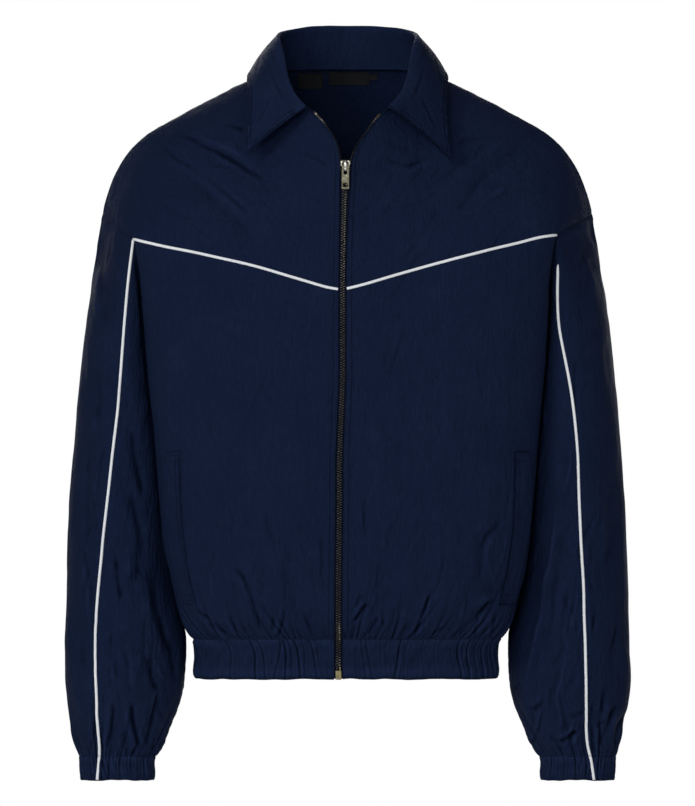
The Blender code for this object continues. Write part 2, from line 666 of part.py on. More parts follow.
for side, who in ((-1, "right"), (1, "left")):
    piping("piping_yoke_" + who, grids["front_" + who][-1], normals["front_" + who][-1], 0.5, (0.5, 7.0))
    g, n = grids["sleeve_" + who][:, HOLE_ROWS], own["sleeve_" + who][:, HOLE_ROWS]
    piping("piping_sleeve_" + who, g, n, 0.5, (9.0, 0.6))
    path, up = [], []
    for drop in (CUFF_SEAM + 0.8, 731, CUFF_END - 0.3):
        far, near, mid, deep, *stripe = spline(SLEEVE, drop)
        cx, a = (far + near) / 2, (far - near) / 2
        t = math.acos((cx - stripe[side_index(side)]) / a)
        n = unit(np.array([-math.cos(t) * deep, -math.sin(t) * a, 0.0]))
        path.append(np.array([cx - a * math.cos(t), mid - deep * math.sin(t), -drop]) + n * 1.2)
        up.append(n)
    m = np.array((side, 1, 1))
    piping("piping_cuff_" + who, np.array(path) * m, np.array(up) * m, 0.4, (0, 0))


# ---- pocket welts --------------------------------------------------------------------------------------
WELT_LIFT = 1.8        # from the front to the welt
# drop, share of the front's half width at the seam edge and at the open edge
WELT = (
    (391, 0.870, 0.938), (415, 0.874, 0.962), (440, 0.878, 0.97), (465, 0.882, 0.975), (495, 0.882, 0.966),
    (525, 0.88, 0.96), (555, 0.875, 0.958),
)
for side, who in ((-1, "right"), (1, "left")):
    places = []
    for drop, inside, outside in WELT:
        w = spline(TORSO, drop)[0]
        places.append([(w * (inside * (1 - k) + outside * k), -drop) for k in (0, 0.25, 0.5, 0.75, 1)])
    m = np.array((side, 1, 1))
    source = (grids["front_" + who] * m, normals["front_" + who] * m, (2, COLS - 2))
    ob = patch("welt_" + who, source, places, WELT_LIFT, WELT_LIFT + 1.4, NAVY)
    if side < 0:
        ob.data.transform(((-1, 0, 0, 0), (0, 1, 0, 0), (0, 0, 1, 0), (0, 0, 0, 1)))
        ob.data.flip_normals()

# ---- collar --------------------------------------------------------------------------------------------

def collar_side(side):
    """Seen and hidden faces of half the collar, rows from the neck seam over the fold to the leaf's edge."""
    neck = along(NECKLINE, COLLAR_COLS)
    fold = along(FOLD, COLLAR_COLS)
    edge_points = [list(p) for p in LEAF_EDGE]
    if side > 0:
        edge_points[0] = (112, -110, -82)
    edge = along(edge_points, COLLAR_COLS)
    t = np.gradient(fold, axis=0) * (1, 1, 0)
    t[-1] = (-1, 0, 0)
    o = unit(np.cross(t, (0, 0, 1.0)))
    o *= np.sign(np.sum(o * (fold * (1, 1, 0) - (0, -20, 0)), axis=1))[:, None]
    up = np.array([0, 0, 1.0])
    lay = unit(np.cross(np.gradient(fold + edge, axis=0), edge - fold))
    lay *= np.sign(np.sum(lay * (o + up), axis=1))[:, None]
    base = neck + up * 0.9 + o * np.interp(np.arange(len(neck)), (0, 2), (-0.6, 0))[:, None]
    fi, fo = fold - o * 0.8 - up * 3.6, fold + o * 0.8 - up * 3.6
    hidden = [base, base * 0.66 + fi * 0.34, base * 0.33 + fi * 0.67, fi, fold - up * 2.3, fo]
    seen = [row - o * DOUBLE for row in hidden[:3]]
    seen += [fold - o * FOLD_RADIUS - up * 3, fold, fold + o * FOLD_RADIUS - up * 3]
    for s in (0.3, 0.55, 0.8, 1.0):
        row = fo * (1 - s) + edge * s + lay * (10 * s * (1 - s))
        hidden.append(row)
        seen.append(row + lay * DOUBLE)
    return np.array(seen), np.array(hidden)


def keep_off(seen, hidden, rows, tree, space):
    """Eases both faces of a sheet out where its hidden face is nearer to the cloth below than a space."""
    for _ in range(5):
        push = np.zeros_like(hidden)
        for r in rows:
            for c in range(hidden.shape[1]):
                q, n, _, _ = tree.find_nearest(Vector(hidden[r, c]))
                away = (Vector(hidden[r, c]) - q).dot(n)
                push[r, c] = np.array(n) * max(0.0, space - away)
        wide = np.pad(push, ((0, 0), (1, 1), (0, 0)), mode="edge")
        push = 0.6 * push + 0.3 * (wide[:, :-2] + wide[:, 2:])
        hidden += push
        seen += push


def outer_tree(names):
    verts, faces = [], []
    for name in names:
        g = grids[name]
        cells = facing(g, axes[name])
        turned = np.sum(cells[0, 0] * np.cross(g[1, 1] - g[0, 0], g[0, 1] - g[1, 0])) > 0
        base = len(verts)
        verts += [Vector(p) for p in g.reshape(-1, 3)]
        cols = g.shape[1]
        for r in range(g.shape[0] - 1):
            for c in range(cols - 1):
                a = base + r * cols + c
                f = (a, a + cols, a + cols + 1, a + 1)
                faces.append(f if turned else f[::-1])
    tree = BVHTree.FromPolygons(verts, faces)
    return tree


right = collar_side(-1)
left = collar_side(1)
m = np.array((-1, 1, 1))
seen = np.concatenate([right[0] * m, left[0][:, ::-1][:, 1:]], axis=1)
hidden = np.concatenate([right[1] * m, left[1][:, ::-1][:, 1:]], axis=1)
tree = outer_tree(("yoke_right", "yoke_left", "front_right", "front_left", "back"))
keep_off(seen, hidden, (6, 7, 8, 9), tree, 2.4)
wall("collar", seen, hidden, NAVY)


# ---- zip -----------------------------------------------------------------------------------------------
TAPE = 1.0             # thickness of the tape
TAPE_HIDDEN = 7.0      # reach under the front
TAPE_SHOWN = 4.5       # reach past the front's edge where the zip is open
ZIP_SHUT = 96.0        # drop below which the two tapes meet


def tape(name, side, who):
    """A zip tape: rows up the front's edge, three points across."""
    front, top = grids["front_" + who], grids["yoke_" + who]
    nf, nt = normals["front_" + who], normals["yoke_" + who]
    band = []
    for drop in (HEM_END - 0.5, 614, HEM_SEAM + 3):
        e = on_section(drop, zip_edge(drop, side)) * (side, 1, 1)
        band.append((e, np.array([side, 0, 0.0]), np.array([0, -1.0, 0]), DOUBLE + 0.4))
    rows = band
    for grid, normal in ((front, nf), (top, nt)):
        for r in range(1, len(grid)):
            thick = DOUBLE if grid is front and r < 2 else CLOTH
            rows.append((grid[r, 0], unit(grid[r, 1] - grid[r, 0]), normal[r, 0], thick + 0.4))
    outer, inner = [], []
    for k, (e, t, n, depth) in enumerate(rows):
        if k == len(rows) - 1:
            e = e + unit(rows[k - 1][0] - e) * 6
        drop = -e[2]
        a = e + t * TAPE_HIDDEN - n * depth
        b = e - t * 1.0 - n * depth
        if drop > ZIP_SHUT:
            c = b.copy()
            c[0] = spline(ZIP_MIDDLE, drop)[0] + side * GAP / 2
        else:
            c = e - t * TAPE_SHOWN - n * depth
        outer.append([a, b, c])
        inner.append([a - n * TAPE, b - n * TAPE, c + np.array([0, TAPE, 0])])
    return wall(name, np.array(outer), np.array(inner), BLACK)


tape("zip_tape_right", -1, "right")
tape("zip_tape_left", 1, "left")


def block(x0, x1, y0, y1, z0, z1, taper=0.0):
    """A box; its lower end is narrower by the taper on each side."""
    verts = []
    for z in (z0, z1):
        cut = taper if z == z0 else 0.0
        verts += [(x, y, z) for y in (y0, y1) for x in (x0 + cut, x1 - cut)]
    faces = [(0, 2, 3, 1), (4, 5, 7, 6), (0, 1, 5, 4), (2, 6, 7, 3), (0, 4, 6, 2), (1, 3, 7, 5)]
    return add_mesh("piece", verts, faces, SILVER)


def combine(name, base, others, material):
    """One closed body from blocks: each is joined on, or cut away where marked."""
    for ob, mode in others:
        m = base.modifiers.new("step", "BOOLEAN")
        m.object = ob
        m.operation = mode
        m.solver = "EXACT"
    bpy.context.view_layer.update()
    mesh = bpy.data.meshes.new_from_object(base.evaluated_get(bpy.context.evaluated_depsgraph_get()))
    for ob in [base] + [o for o, _ in others]:
        bpy.data.objects.remove(ob)
    mesh.materials.clear()
    mesh.materials.append(material)
    ob = bpy.data.objects.new(name, mesh)
    bpy.context.collection.objects.link(ob)
    return ob


# slider: front plate, post between the tapes, back plate and the arch that carries the pull tab
ZIP_X = -0.5
SLIDER_TOP = -80.0
SLIDER_LOW = -92.0
PLATE_FACE = -121.0    # y of the front plate's face
PIVOT = (PLATE_FACE - 1.0, -90.0)   # y and z of the bar on which the pull tab turns
BAR = 0.65             # half thickness of that bar

plate = block(ZIP_X - 6.0, ZIP_X + 6.0, PLATE_FACE, PLATE_FACE + 2.4, SLIDER_LOW, SLIDER_TOP, taper=1.6)
post = block(ZIP_X - 1.3, ZIP_X + 1.3, PLATE_FACE + 1.0, -110.6, SLIDER_TOP - 2.6, SLIDER_TOP)
rear = block(ZIP_X - 5.0, ZIP_X + 5.0, -112.0, -110.4, SLIDER_LOW + 1, SLIDER_TOP, taper=1.4)
ARCH = (ZIP_X - 1.1, ZIP_X + 1.1, PLATE_FACE - 3.0)
leg_low = block(*ARCH, PLATE_FACE + 0.5, SLIDER_LOW, SLIDER_LOW + 0.9)
leg_top = block(*ARCH, PLATE_FACE + 0.5, SLIDER_TOP - 1.5, SLIDER_TOP - 0.3)
crown = block(*ARCH, PLATE_FACE - 2.0, SLIDER_LOW, SLIDER_TOP - 0.3)
combine("zip_slider", plate, [(piece, "UNION") for piece in (post, rear, leg_low, leg_top, crown)], SILVER)

# pull tab: hangs from its bar, a slot round the arch above and a window near its lower end
TAB_LONG = 21.5
tab = block(ZIP_X - 4.2, ZIP_X + 4.2, PIVOT[0] - BAR, PIVOT[0] + BAR, PIVOT[1] - TAB_LONG, PIVOT[1] + BAR)
slot = block(ZIP_X - 1.5, ZIP_X + 1.5, PIVOT[0] - 2, PIVOT[0] + 2, PIVOT[1] - 5.4, PIVOT[1] - BAR)
window = block(ZIP_X - 2.4, ZIP_X + 2.4, PIVOT[0] - 2, PIVOT[0] + 2, PIVOT[1] - 19.3, PIVOT[1] - 15.0)
combine("zip_pull", tab, [(slot, "DIFFERENCE"), (window, "DIFFERENCE")], SILVER)

# end box at the foot of the zip
box_x = float(spline(ZIP_MIDDLE, 630)[0])
box_y = -spline(TORSO, HEM_END)[2] + DOUBLE + 0.4
end_box = block(box_x - 3.2, box_x + 3.2, box_y - 2.9, box_y - 0.5, -HEM_END - 0.3, -HEM_END + 10)
end_box.name = "zip_end_box"
end_box.data.materials.clear()
end_box.data.materials.append(BRASS)

# ---- bare labels inside the back neck ------------------------------------------------------------------
back_source = (grids["back"], normals["back"], (COLS - NECK_COLS - 1, COLS + NECK_COLS + 1))


def label(name, x0, x1, z0, z1):
    places = [[(x0 + (x1 - x0) * k / 3, z) for k in range(4)] for z in (z0, (z0 + z1) / 2, z1)]
    return patch(name, back_source, places, CLOTH + 0.8, CLOTH + 1.6, LABEL, flip=-1)


label("label_wide", -20.5, 23.8, 4.0, 17.5)
label("label_side", -54, -27, 0.0, 16.5)
label("label_tab", 24.4, 32.5, 9.0, 15.5)
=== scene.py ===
# Looks of the zipped windbreaker: thin cloth shells with their creases, the trims, the zip and a plain studio.
# Lengths are in mm and meshes in metres. "own x" is the distance from the middle plane, "drop" the distance below
# the neck point's level; side -1 is the wearer's right (-X) and 1 the wearer's left.

import math

import bmesh
import bpy
import numpy as np
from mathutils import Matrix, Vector
from mathutils.bvhtree import BVHTree


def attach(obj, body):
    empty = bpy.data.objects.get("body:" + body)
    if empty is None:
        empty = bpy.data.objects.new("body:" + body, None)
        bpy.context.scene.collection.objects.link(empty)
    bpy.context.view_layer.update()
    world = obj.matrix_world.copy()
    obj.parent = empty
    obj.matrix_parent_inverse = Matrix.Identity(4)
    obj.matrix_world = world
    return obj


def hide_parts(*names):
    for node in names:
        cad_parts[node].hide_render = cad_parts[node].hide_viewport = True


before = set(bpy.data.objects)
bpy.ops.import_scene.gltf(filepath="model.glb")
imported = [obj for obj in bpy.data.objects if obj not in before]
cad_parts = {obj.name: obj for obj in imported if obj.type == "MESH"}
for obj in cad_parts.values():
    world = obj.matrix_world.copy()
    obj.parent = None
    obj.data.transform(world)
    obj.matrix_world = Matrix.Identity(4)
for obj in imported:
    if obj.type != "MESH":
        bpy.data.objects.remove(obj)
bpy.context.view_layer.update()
BODY, TAB = "garment", "pull_tab"
SIDES = ((-1, "right"), (1, "left"))
UP = np.array((0.0, 0.0, 1.0))

# ---- driving sizes, mm
# The tables of the body, the sleeves and the collar are as in the part's source. Those of the zip and the yoke seam
# stand up to 6 mm off it, nearer to the photo.
HEM_SEAM, HEM_END = 592.0, 635.0
UNDERARM, YOKE_SIDE = 232.0, 160.0
CUFF_SEAM, CUFF_END = 718.0, 744.0
SECTION_POWER = 2.4
SIDE_Y = 6             # y of the side seam
CLEAR = 4.0            # between a sleeve and the body beside it
SHEET = 0.7            # thickness of the shell cloth as shown
BAND = 1.5             # thickness of the doubled hem band and cuffs
COLLAR_CLOTH = 1.9     # thickness of the folded collar
ZIP_X = -2.3           # middle of the slider and the pull tab
ZIP_SHUT = 92.0        # drop at which the two rows of teeth meet under the slider
TOOTH_PITCH = 2.65     # from one tooth to the next of its row
STITCH_IN = 5.6        # topstitching beside the zip, from the folded edge

# counts of the coarse grids, from which the fine ones are drawn
NECK_COLS, SHOULDER_COLS = 8, 16
COLS = NECK_COLS + SHOULDER_COLS
SIDE_ROWS, HOLE_ROWS, TOP_ROWS, HEAD_ROWS = 26, 12, 20, 5
COLLAR_COLS = 20
ROUND_POINTS = 41      # of a half section, from its middle to its widest place; the side has 20 more

# ---- the body's level sections: half widths and depths, by drop
# drop, front half width, depth at which it is reached, depth at the middle of the front,
# half width at the side seam, y of the side seam,
# back half width, depth at which it is reached, depth at the middle of the back
TORSO = (
    (120, 238, 84, 120, 202, 6, 232, 86, 121),
    (160, 229, 80, 125, 201, 6, 226, 84, 120),
    (215, 221, 75, 128, 198, 6, 219, 79, 118),
    (232, 220, 72, 129, 196, 6, 217, 77, 117),
    (270, 217, 68, 129, 190, 6, 213, 72, 115),
    (335, 211, 63, 128, 184, 6, 207, 66, 112),
    (389, 206, 60, 127, 182, 6, 202, 62, 110),
    (443, 202, 58, 127, 181, 6, 198, 60, 110),
    (491, 197, 57, 127, 180, 6, 194, 59, 112),
    (518, 193, 56, 127, 178, 6, 190, 57, 113),
    (540, 188, 54, 126, 176, 6, 186, 55, 113),
    (562, 182, 50, 124, 173, 6, 181, 50, 112),
    (578, 176, 46, 119, 170, 6, 175, 46, 109),
    (588, 169, 42, 112, 166, 6, 168, 42, 104),
    (592, 165, 40, 108, 164, 6, 164, 40, 101),
    (635, 162, 38, 105, 161, 6, 161, 38, 98),
)
# drop, y of the armhole's front edge, y of its back edge
ARMHOLE = ((160, -80, 84), (182, -74, 80), (198, -64, 71), (212, -47, 56), (224, -22, 34), (232, 6, 6))
# drop, y at the middle of the front above the yoke seam
CHEST = ((24, -87), (40, -98), (60, -109.5), (86, -118), (112, -120.5), (160, -124.5), (215, -128))
# drop, own x of the zip edge: wearer's right, wearer's left
ZIP_EDGE = (
    (24, 43, 43), (32, 34, 35), (42, 25, 27), (54, 16, 18), (66, 11, 10.5), (81, 8.6, 5.4), (108, 8.8, 3.6),
    (135, 8.9, 1.6), (186, 9.5, -0.6), (270, 9.8, -0.9), (315, 9.9, -1.0), (358, 11.5, -2.6), (401, 13.1, -4.2),
    (444, 13.2, -4.2), (530, 14.3, -5.1), (635, 14.5, -5.0),
)
# drop, x of the middle of the zip
ZIP_MIDDLE = (
    (60, -2.2), (86, -2.3), (125, -3.6), (186, -5.0), (270, -5.3), (315, -5.4), (358, -7.0), (401, -8.6),
    (444, -8.7), (530, -9.7), (635, -9.7),
)
# own x, drop of the yoke seam: wearer's right, wearer's left
YOKE_SEAM = (
    (-5, 219.5, 218.5), (12, 217.9, 214.4), (52, 207.2, 202.8), (96, 194.1, 190.4), (151, 181.3, 176.4),
    (190, 171.5, 168), (212, 164.6, 162.4), (229, 160, 160),
)
# neckline: own x, y, height above the neck point level
NECKLINE = (
    (43, -87, -26), (61, -68, -10), (76, -45, 2), (86, -20, 10), (89, 0, 14),
    (88, 22, 16), (80, 42, 18), (62, 60, 20), (34, 73, 21), (0, 78, 21),
)
# shoulder seam, from the neckline to the armhole's top
SHOULDER = (
    (89, 0, 14), (114, -4, 3), (149, -8, -14.5), (184, -9, -33.5), (218, -9, -53.5), (235, -8, -70),
    (246.5, -5, -88), (255.5, -1, -108.5), (260.5, 3, -124), (263.5, 6, -137),
)
# drop, own x outside, own x inside, y of the middle, half depth, own x of the piping (wearer's right, left)
SLEEVE = (
    (272, 283, 194, 8, 80, 240, 232),
    (335, 289.5, 191, 10, 79, 245, 243),
    (389, 294, 189, 10, 77, 251, 248.5),
    (443, 298, 187, 9, 74, 257, 250.5),
    (497, 300, 186, 8, 71, 263, 253),
    (540, 301.5, 182, 6, 68, 267, 255.5),
    (567, 302, 177, 5, 65, 269, 256),
    (594, 303, 172.5, 4, 62, 270, 257),
    (616, 303.5, 173, 4, 60, 270, 257.5),
    (643, 303.5, 175, 3, 57, 270, 258),
    (657, 302, 178, 3, 54, 269, 258),
    (670, 300, 182.5, 3, 50, 269, 257.5),
    (683, 297, 188, 3, 46, 268, 257),
    (696, 295, 193, 3, 42, 267, 257),
    (708, 291.5, 198.5, 3, 37.5, 266, 258),
    (718, 288, 206, 3, 33, 266, 260),
    (744, 286.5, 207, 3, 31, 268, 264),
)
SLEEVE_LEVELS = (272, 308, 345, 385, 425, 465, 505, 542, 575, 606, 636, 662, 684, 702, 718)

# collar: own x, y, height of the fold line and of the leaf's edge, front to middle of the back
FOLD = (
    (45, -93, -21), (56, -83, -9), (65, -66, 10), (70, -44, 34), (75, -16, 53), (73, 16, 60.5),
    (59, 45, 65), (32, 63, 68.5), (0, 70, 69),
)
LEAF_EDGE = (
    (109, -108, -74), (107, -92, -45), (106, -66, -14), (107, -35, 4), (107, -5, 9), (105, 24, 10),
    (94, 58, 8), (55, 90, 3), (0, 101, 0),
)
FOLD_RADIUS = 3.0

# main folds of the cloth: x and drop at one end, x and drop at the other, height (a trough is negative),
# half width, and the face: -1 is the front, 1 the back
FOLDS = (
    (-190, 40, -80, 108, -3.0, 13, -1),
    (-205, 62, -105, 138, -2.5, 13, -1),
    (-176, 98, -86, 175, -3.0, 20, -1),
    (205, 66, 100, 135, -3.0, 15, -1),
    (190, 100, 90, 165, -2.5, 18, -1),
    (86, 80, 40, 88, -2.5, 12, -1),
    (-150, 500, -128, 580, -3.0, 12, -1),
    (-114, 510, -86, 588, -3.5, 12, -1),
    (-60, 530, -40, 585, -2.5, 12, -1),
    (166, 545, 112, 588, -4.0, 15, -1),
    (85, 540, 67, 588, -3.0, 12, -1),
    (40, 520, 30, 585, -2.5, 12, -1),
    (-140, 120, -60, 200, -3.0, 24, 1),
    (140, 120, 60, 200, -3.0, 24, 1),
    (-130, 520, -110, 588, -3.0, 14, 1),
    (-70, 500, -64, 588, -3.0, 14, 1),
    (0, 520, 6, 588, -3.0, 14, 1),
    (66, 505, 60, 588, -3.0, 14, 1),
    (135, 525, 115, 588, -3.0, 14, 1),
    # across the sleeves
    (-240, 350, -222, 420, -3.5, 14, -1),
    (-236, 425, -228, 500, -3.5, 14, -1),
    (-250, 510, -240, 560, -3.0, 13, -1),
    (-205, 520, -190, 650, -4.0, 16, -1),
    (-262, 640, -250, 700, -2.5, 12, -1),
    (225, 440, 232, 560, -3.0, 14, -1),
    (205, 560, 212, 660, -3.5, 14, -1),
    (274, 680, 262, 708, -2.5, 11, -1),
    (290, 420, 280, 520, -2.5, 14, -1),
    (-245, 380, -220, 450, -3.0, 16, 1),
    (245, 380, 220, 450, -3.0, 16, 1),
    (-240, 560, -230, 660, -3.0, 16, 1),
    (240, 560, 230, 660, -3.0, 16, 1),
)

# creases seen on the front: height (a trough is negative), half width, x and drop of each point
CREASES = {"body": (
    (-2, 2.6, -190, 40, -178, 52, -158, 62, -131, 76, -104, 92, -81, 108),
    (-1.9, 2.6, -207, 59, -192, 71, -163, 90, -144, 104, -123, 122, -104, 139),
    (1, 4.5, -184, 41, -158, 53, -127, 68, -99, 84), (-1.6, 9.8, -188, 76, -150, 117, -119, 148, -91, 173),
    (1.1, 6.8, -174, 76, -143, 104, -109, 134), (-1.4, 2.6, -134, 40, -121, 44, -109, 49),
    (-1, 2, -60, 66, -38, 79, -19, 86), (0.6, 3.8, -238, 79, -232, 112, -229, 146),
    (-0.6, 3.8, -225, 86, -221, 119, -220, 149), (-0.6, 6, -71, 119, -50, 153, -37, 186),
    (-1.4, 2.3, 33, 71, 42, 79, 52, 84, 63, 86, 75, 80, 91, 72), (-1, 8, 41, 54, 54, 67, 69, 65),
    (1.2, 6.8, 186, 53, 147, 73, 113, 100, 93, 125), (1.2, 6, 206, 60, 185, 86, 153, 122, 130, 149),
    (-1.4, 6, 197, 54, 166, 79, 134, 112, 110, 145), (-0.8, 4.5, 112, 63, 134, 55, 156, 50),
    (-0.8, 6.8, 217, 81, 213, 113, 207, 146), (-0.6, 5.2, 15, 119, 24, 153, 22, 186),
    (-0.8, 3.8, 17, 84, 28, 73, 37, 60), (-2, 2.3, -130, 511, -114, 522, -106, 538, -99, 561, -91, 588),
    (1.2, 2.6, -158, 486, -151, 508, -147, 526, -141, 555), (0.7, 2, -137, 495, -143, 510, -146, 523),
    (0.9, 2, -183, 494, -174, 524, -164, 546), (-1.8, 2.2, -168, 554, -154, 566, -138, 579, -122, 590),
    (-2, 2.2, -151, 572, -134, 584, -118, 592), (-1.6, 2.2, -130, 565, -123, 575, -118, 585),
    (-1.5, 4.8, -121, 538, -117, 563, -104, 588), (-1.3, 5.7, -90, 508, -93, 529, -91, 551),
    (-2, 6.2, -59, 484, -65, 511, -60, 549, -53, 570), (-2.2, 2.2, -68, 556, -70, 575, -75, 592),
    (-1.3, 2.2, -84, 558, -81, 570, -82, 583), (-2, 2.2, -51, 559, -41, 577, -35, 593),
    (-1.1, 2.9, -40, 549, -39, 564, -40, 575), (-1.6, 2.4, -199, 531, -192, 536, -187, 540),
    (-1.1, 6.6, -190, 464, -184, 495, -179, 518), (-1, 8.5, -104, 410, -108, 448, -102, 484),
    (1, 8.5, -50, 378, -44, 421, -50, 464), (-2.6, 5.7, 166, 410, 161, 435, 163, 462, 150, 484, 143, 514, 139, 537),
    (1.8, 4.8, 157, 473, 151, 505, 158, 540), (-3, 2.6, 164, 545, 151, 554, 140, 565, 125, 581, 116, 594),
    (2, 5.7, 156, 540, 138, 553, 123, 569, 110, 585), (-2, 2, 140, 563, 136, 579, 133, 594),
    (-2.2, 2, 160, 564, 156, 581, 152, 594), (-1.6, 2, 103, 578, 97, 583, 90, 590),
    (-2.9, 2.3, 92, 540, 81, 564, 76, 581, 69, 594), (-1.4, 2, 65, 573, 60, 581, 56, 588),
    (-1.3, 2.5, 51, 551, 48, 569, 44, 588), (-2.2, 2, 33, 564, 27, 577, 21, 589),
    (-2.2, 2, 24, 550, 15, 562, 5, 575), (-1.1, 2.5, 17, 542, 12, 551, 8, 559),
    (-1.3, 6.6, 42, 508, 39, 529, 45, 549), (-1.5, 7.6, 85, 475, 80, 508, 89, 535),
    (-1.2, 8.5, 58, 367, 54, 410, 60, 448), (1.1, 8.5, 118, 313, 112, 367, 120, 421),
    (-1, 7.6, 188, 367, 184, 410, 179, 443),
), "sleeve": (
    (-2.6, 8.3, -262, 149, -265, 186, -261, 227, -259, 265), (1.4, 4.6, -253, 153, -247, 186, -243, 218),
    (1.2, 4.6, -271, 186, -269, 227, -271, 270), (-2.9, 7.4, -276, 374, -280, 441, -278, 497),
    (-3.1, 4.6, -230, 362, -226, 394, -221, 421, -219, 446),
    (-4.1, 5.1, -233, 428, -226, 459, -219, 486, -222, 513, -228, 537), (-3.5, 3, -248, 499, -247, 529, -242, 554),
    (-6, 5.1, -204, 516, -204, 545, -197, 578, -189, 605, -185, 646), (-3.6, 6.4, -212, 605, -210, 632, -203, 650),
    (-4.8, 3.4, -203, 646, -205, 661, -208, 676, -213, 698, -216, 713),
    (-3.7, 2.6, -253, 657, -253, 677, -255, 700, -261, 714),
    (-3.9, 2.8, -230, 657, -229, 683, -224, 704, -222, 713), (-1.9, 2.1, -275, 699, -279, 717),
    (-2.7, 2.1, -205, 697, -210, 713), (-2, 2.1, -226, 706, -231, 717), (-1.9, 2.1, -237, 705, -238, 717),
    (1.9, 4.6, -296, 594, -296, 621, -292, 648, -283, 680), (-1.9, 5.5, -289, 551, -287, 594, -283, 629),
    (1.4, 5.5, -235, 594, -232, 626, -231, 648), (-1.4, 5.5, -253, 572, -255, 605, -252, 637),
    (1.7, 6.4, -239, 227, -235, 281, -238, 329), (-1.9, 6.4, -222, 259, -219, 302, -218, 346),
    (-1.7, 6.4, -270, 292, -267, 329, -269, 362),
    (2.5, 3.7, 226, 427, 221, 481, 211, 541, 202, 594, 192, 630, 188, 657, 189, 672),
    (-2.4, 7.4, 233, 443, 227, 508, 216, 567, 210, 616),
    (1.6, 3.3, 239, 594, 232, 618, 230, 636, 225, 656, 229, 674, 224, 696), (-1.9, 3, 212, 660, 204, 664, 197, 669),
    (-3.7, 2.5, 247, 690, 237, 697, 225, 703), (-2.7, 2.5, 216, 694, 221, 704, 229, 714),
    (-1.6, 3.3, 254, 669, 246, 673, 238, 678), (-5, 3.3, 292, 659, 283, 674, 276, 690, 271, 701, 270, 713),
    (-5.5, 4.2, 303, 665, 298, 677, 292, 690, 289, 713), (-2, 2.5, 266, 688, 270, 684, 275, 680),
    (-1.9, 4.6, 238, 529, 231, 564, 227, 605), (1.4, 3.3, 240, 378, 238, 408, 231, 432),
    (1.6, 3.3, 238, 607, 233, 594, 231, 578), (-2.4, 7.4, 264, 97, 266, 135, 264, 173),
    (-1.9, 2.9, 242, 132, 251, 126, 259, 125), (1.7, 6.4, 258, 186, 265, 227, 268, 270),
    (-1.9, 7.4, 278, 259, 281, 308, 279, 356), (-1.9, 7.4, 283, 410, 285, 464, 282, 518),
    (1.4, 6.4, 272, 443, 274, 497, 276, 551), (-2.2, 5.5, 287, 572, 285, 610, 291, 648),
    (-1.7, 5.5, 244, 281, 242, 324, 245, 356), (-1.9, 4.6, 255, 648, 257, 672, 253, 697),
)}


def spline(table, key):
    """A smooth curve through a table whose first column is the key."""
    t = np.asarray(table, float)
    k, v = t[:, 0], t[:, 1:]
    x = np.clip(np.asarray(key, float), k[0], k[-1])
    m = np.gradient(v, k, axis=0)
    i = np.clip(np.searchsorted(k, x, side="right") - 1, 0, len(k) - 2)
    h = (k[i + 1] - k[i])[..., None]
    s = (x - k[i])[..., None] / h
    a = (1 + 2 * s) * (1 - s) ** 2
    b = s * (1 - s) ** 2
    return a * v[i] + b * h * m[i] + (1 - a) * v[i + 1] - s * s * (1 - s) * h * m[i + 1]


def arc_of(path):
    """Distance along a path at each of its points."""
    return np.r_[0, np.cumsum(np.linalg.norm(np.diff(path, axis=0), axis=1))]


def smooth_path(points, count):
    """A number of points on a smooth curve through a few, at even steps of its straight lengths."""
    p = np.asarray(points, float)
    knots = arc_of(p)
    return spline(np.c_[knots, p], np.linspace(0, knots[-1], count))


def at_places(where, places, *tracks):
    """Values of tracks, rows of points or directions, at one place along them."""
    return [np.array([np.interp(where, places, track[:, i]) for i in range(3)]) for track in tracks]


def along(points, count):
    """Points at even steps along a smooth curve through a few points."""
    dense = smooth_path(points, 240)
    arc = arc_of(dense)
    at = np.linspace(0, 1, count + 1) * arc[-1]
    return np.stack([np.interp(at, arc, dense[:, i]) for i in range(3)], axis=1)


def smoothstep(s):
    """A soft step from 0 to 1."""
    s = np.clip(s, 0, 1)
    return s * s * (3 - 2 * s)


def unit(v):
    """Vectors of length 1 along the given ones."""
    return v / np.maximum(np.linalg.norm(v, axis=-1, keepdims=True), 1e-9)


def half_section(drop, back=False):
    """Half of a level section, from the middle of the front or back to the side seam: own x, y, arc length."""
    w, c, d, ws, ys, wb, cb, db = spline(TORSO, drop)
    if back:
        w, c, d, ys = wb, cb, db, -ys
    t = np.linspace(0, math.pi / 2, ROUND_POINTS)
    x = w * np.sin(t) ** (2 / SECTION_POWER)
    y = c + (d - c) * np.cos(t) ** (2 / SECTION_POWER)
    s = np.linspace(0, 1, 21)[1:]
    x = np.r_[x, w + (ws - w) * smoothstep(s)]
    y = np.r_[y, c - (c + ys) * s]
    arc = np.r_[0, np.cumsum(np.hypot(np.diff(x), np.diff(y)))]
    return x, y if back else -y, arc


def on_section(drop, p, back=False):
    """The point of a level section at a signed arc length from the middle."""
    x, y, arc = half_section(drop, back)
    own = np.interp(abs(p), arc, x)
    return np.array([math.copysign(own, p) if p else 0.0, np.interp(abs(p), arc, y), -drop])


def section_end(drop, back=False):
    """Arc length at which the section meets the side seam, or the armhole above it."""
    _, y, arc = half_section(drop, back)
    if drop >= UNDERARM:
        return arc[-1]
    edge = spline(ARMHOLE, drop)[1 if back else 0]
    tail = slice(ROUND_POINTS - 3, None)
    key, val = (-y[tail], arc[tail]) if back else (y[tail], arc[tail])
    return np.interp(-edge if back else edge, key, val)


def body_half_width(drop, y):
    """Half width of the body at a depth, for keeping a sleeve clear of it."""
    behind = y > SIDE_Y
    x, yy, _ = half_section(drop, behind)
    return float(np.interp(-y, -yy, x)) if behind else float(np.interp(y, yy, x))


def side_index(side):
    """Column of a side in the tables that have one for each."""
    return 0 if side < 0 else 1


def zip_edge(drop, side):
    """Own x of a front's edge beside the zip."""
    return float(spline(ZIP_EDGE, drop)[side_index(side)])


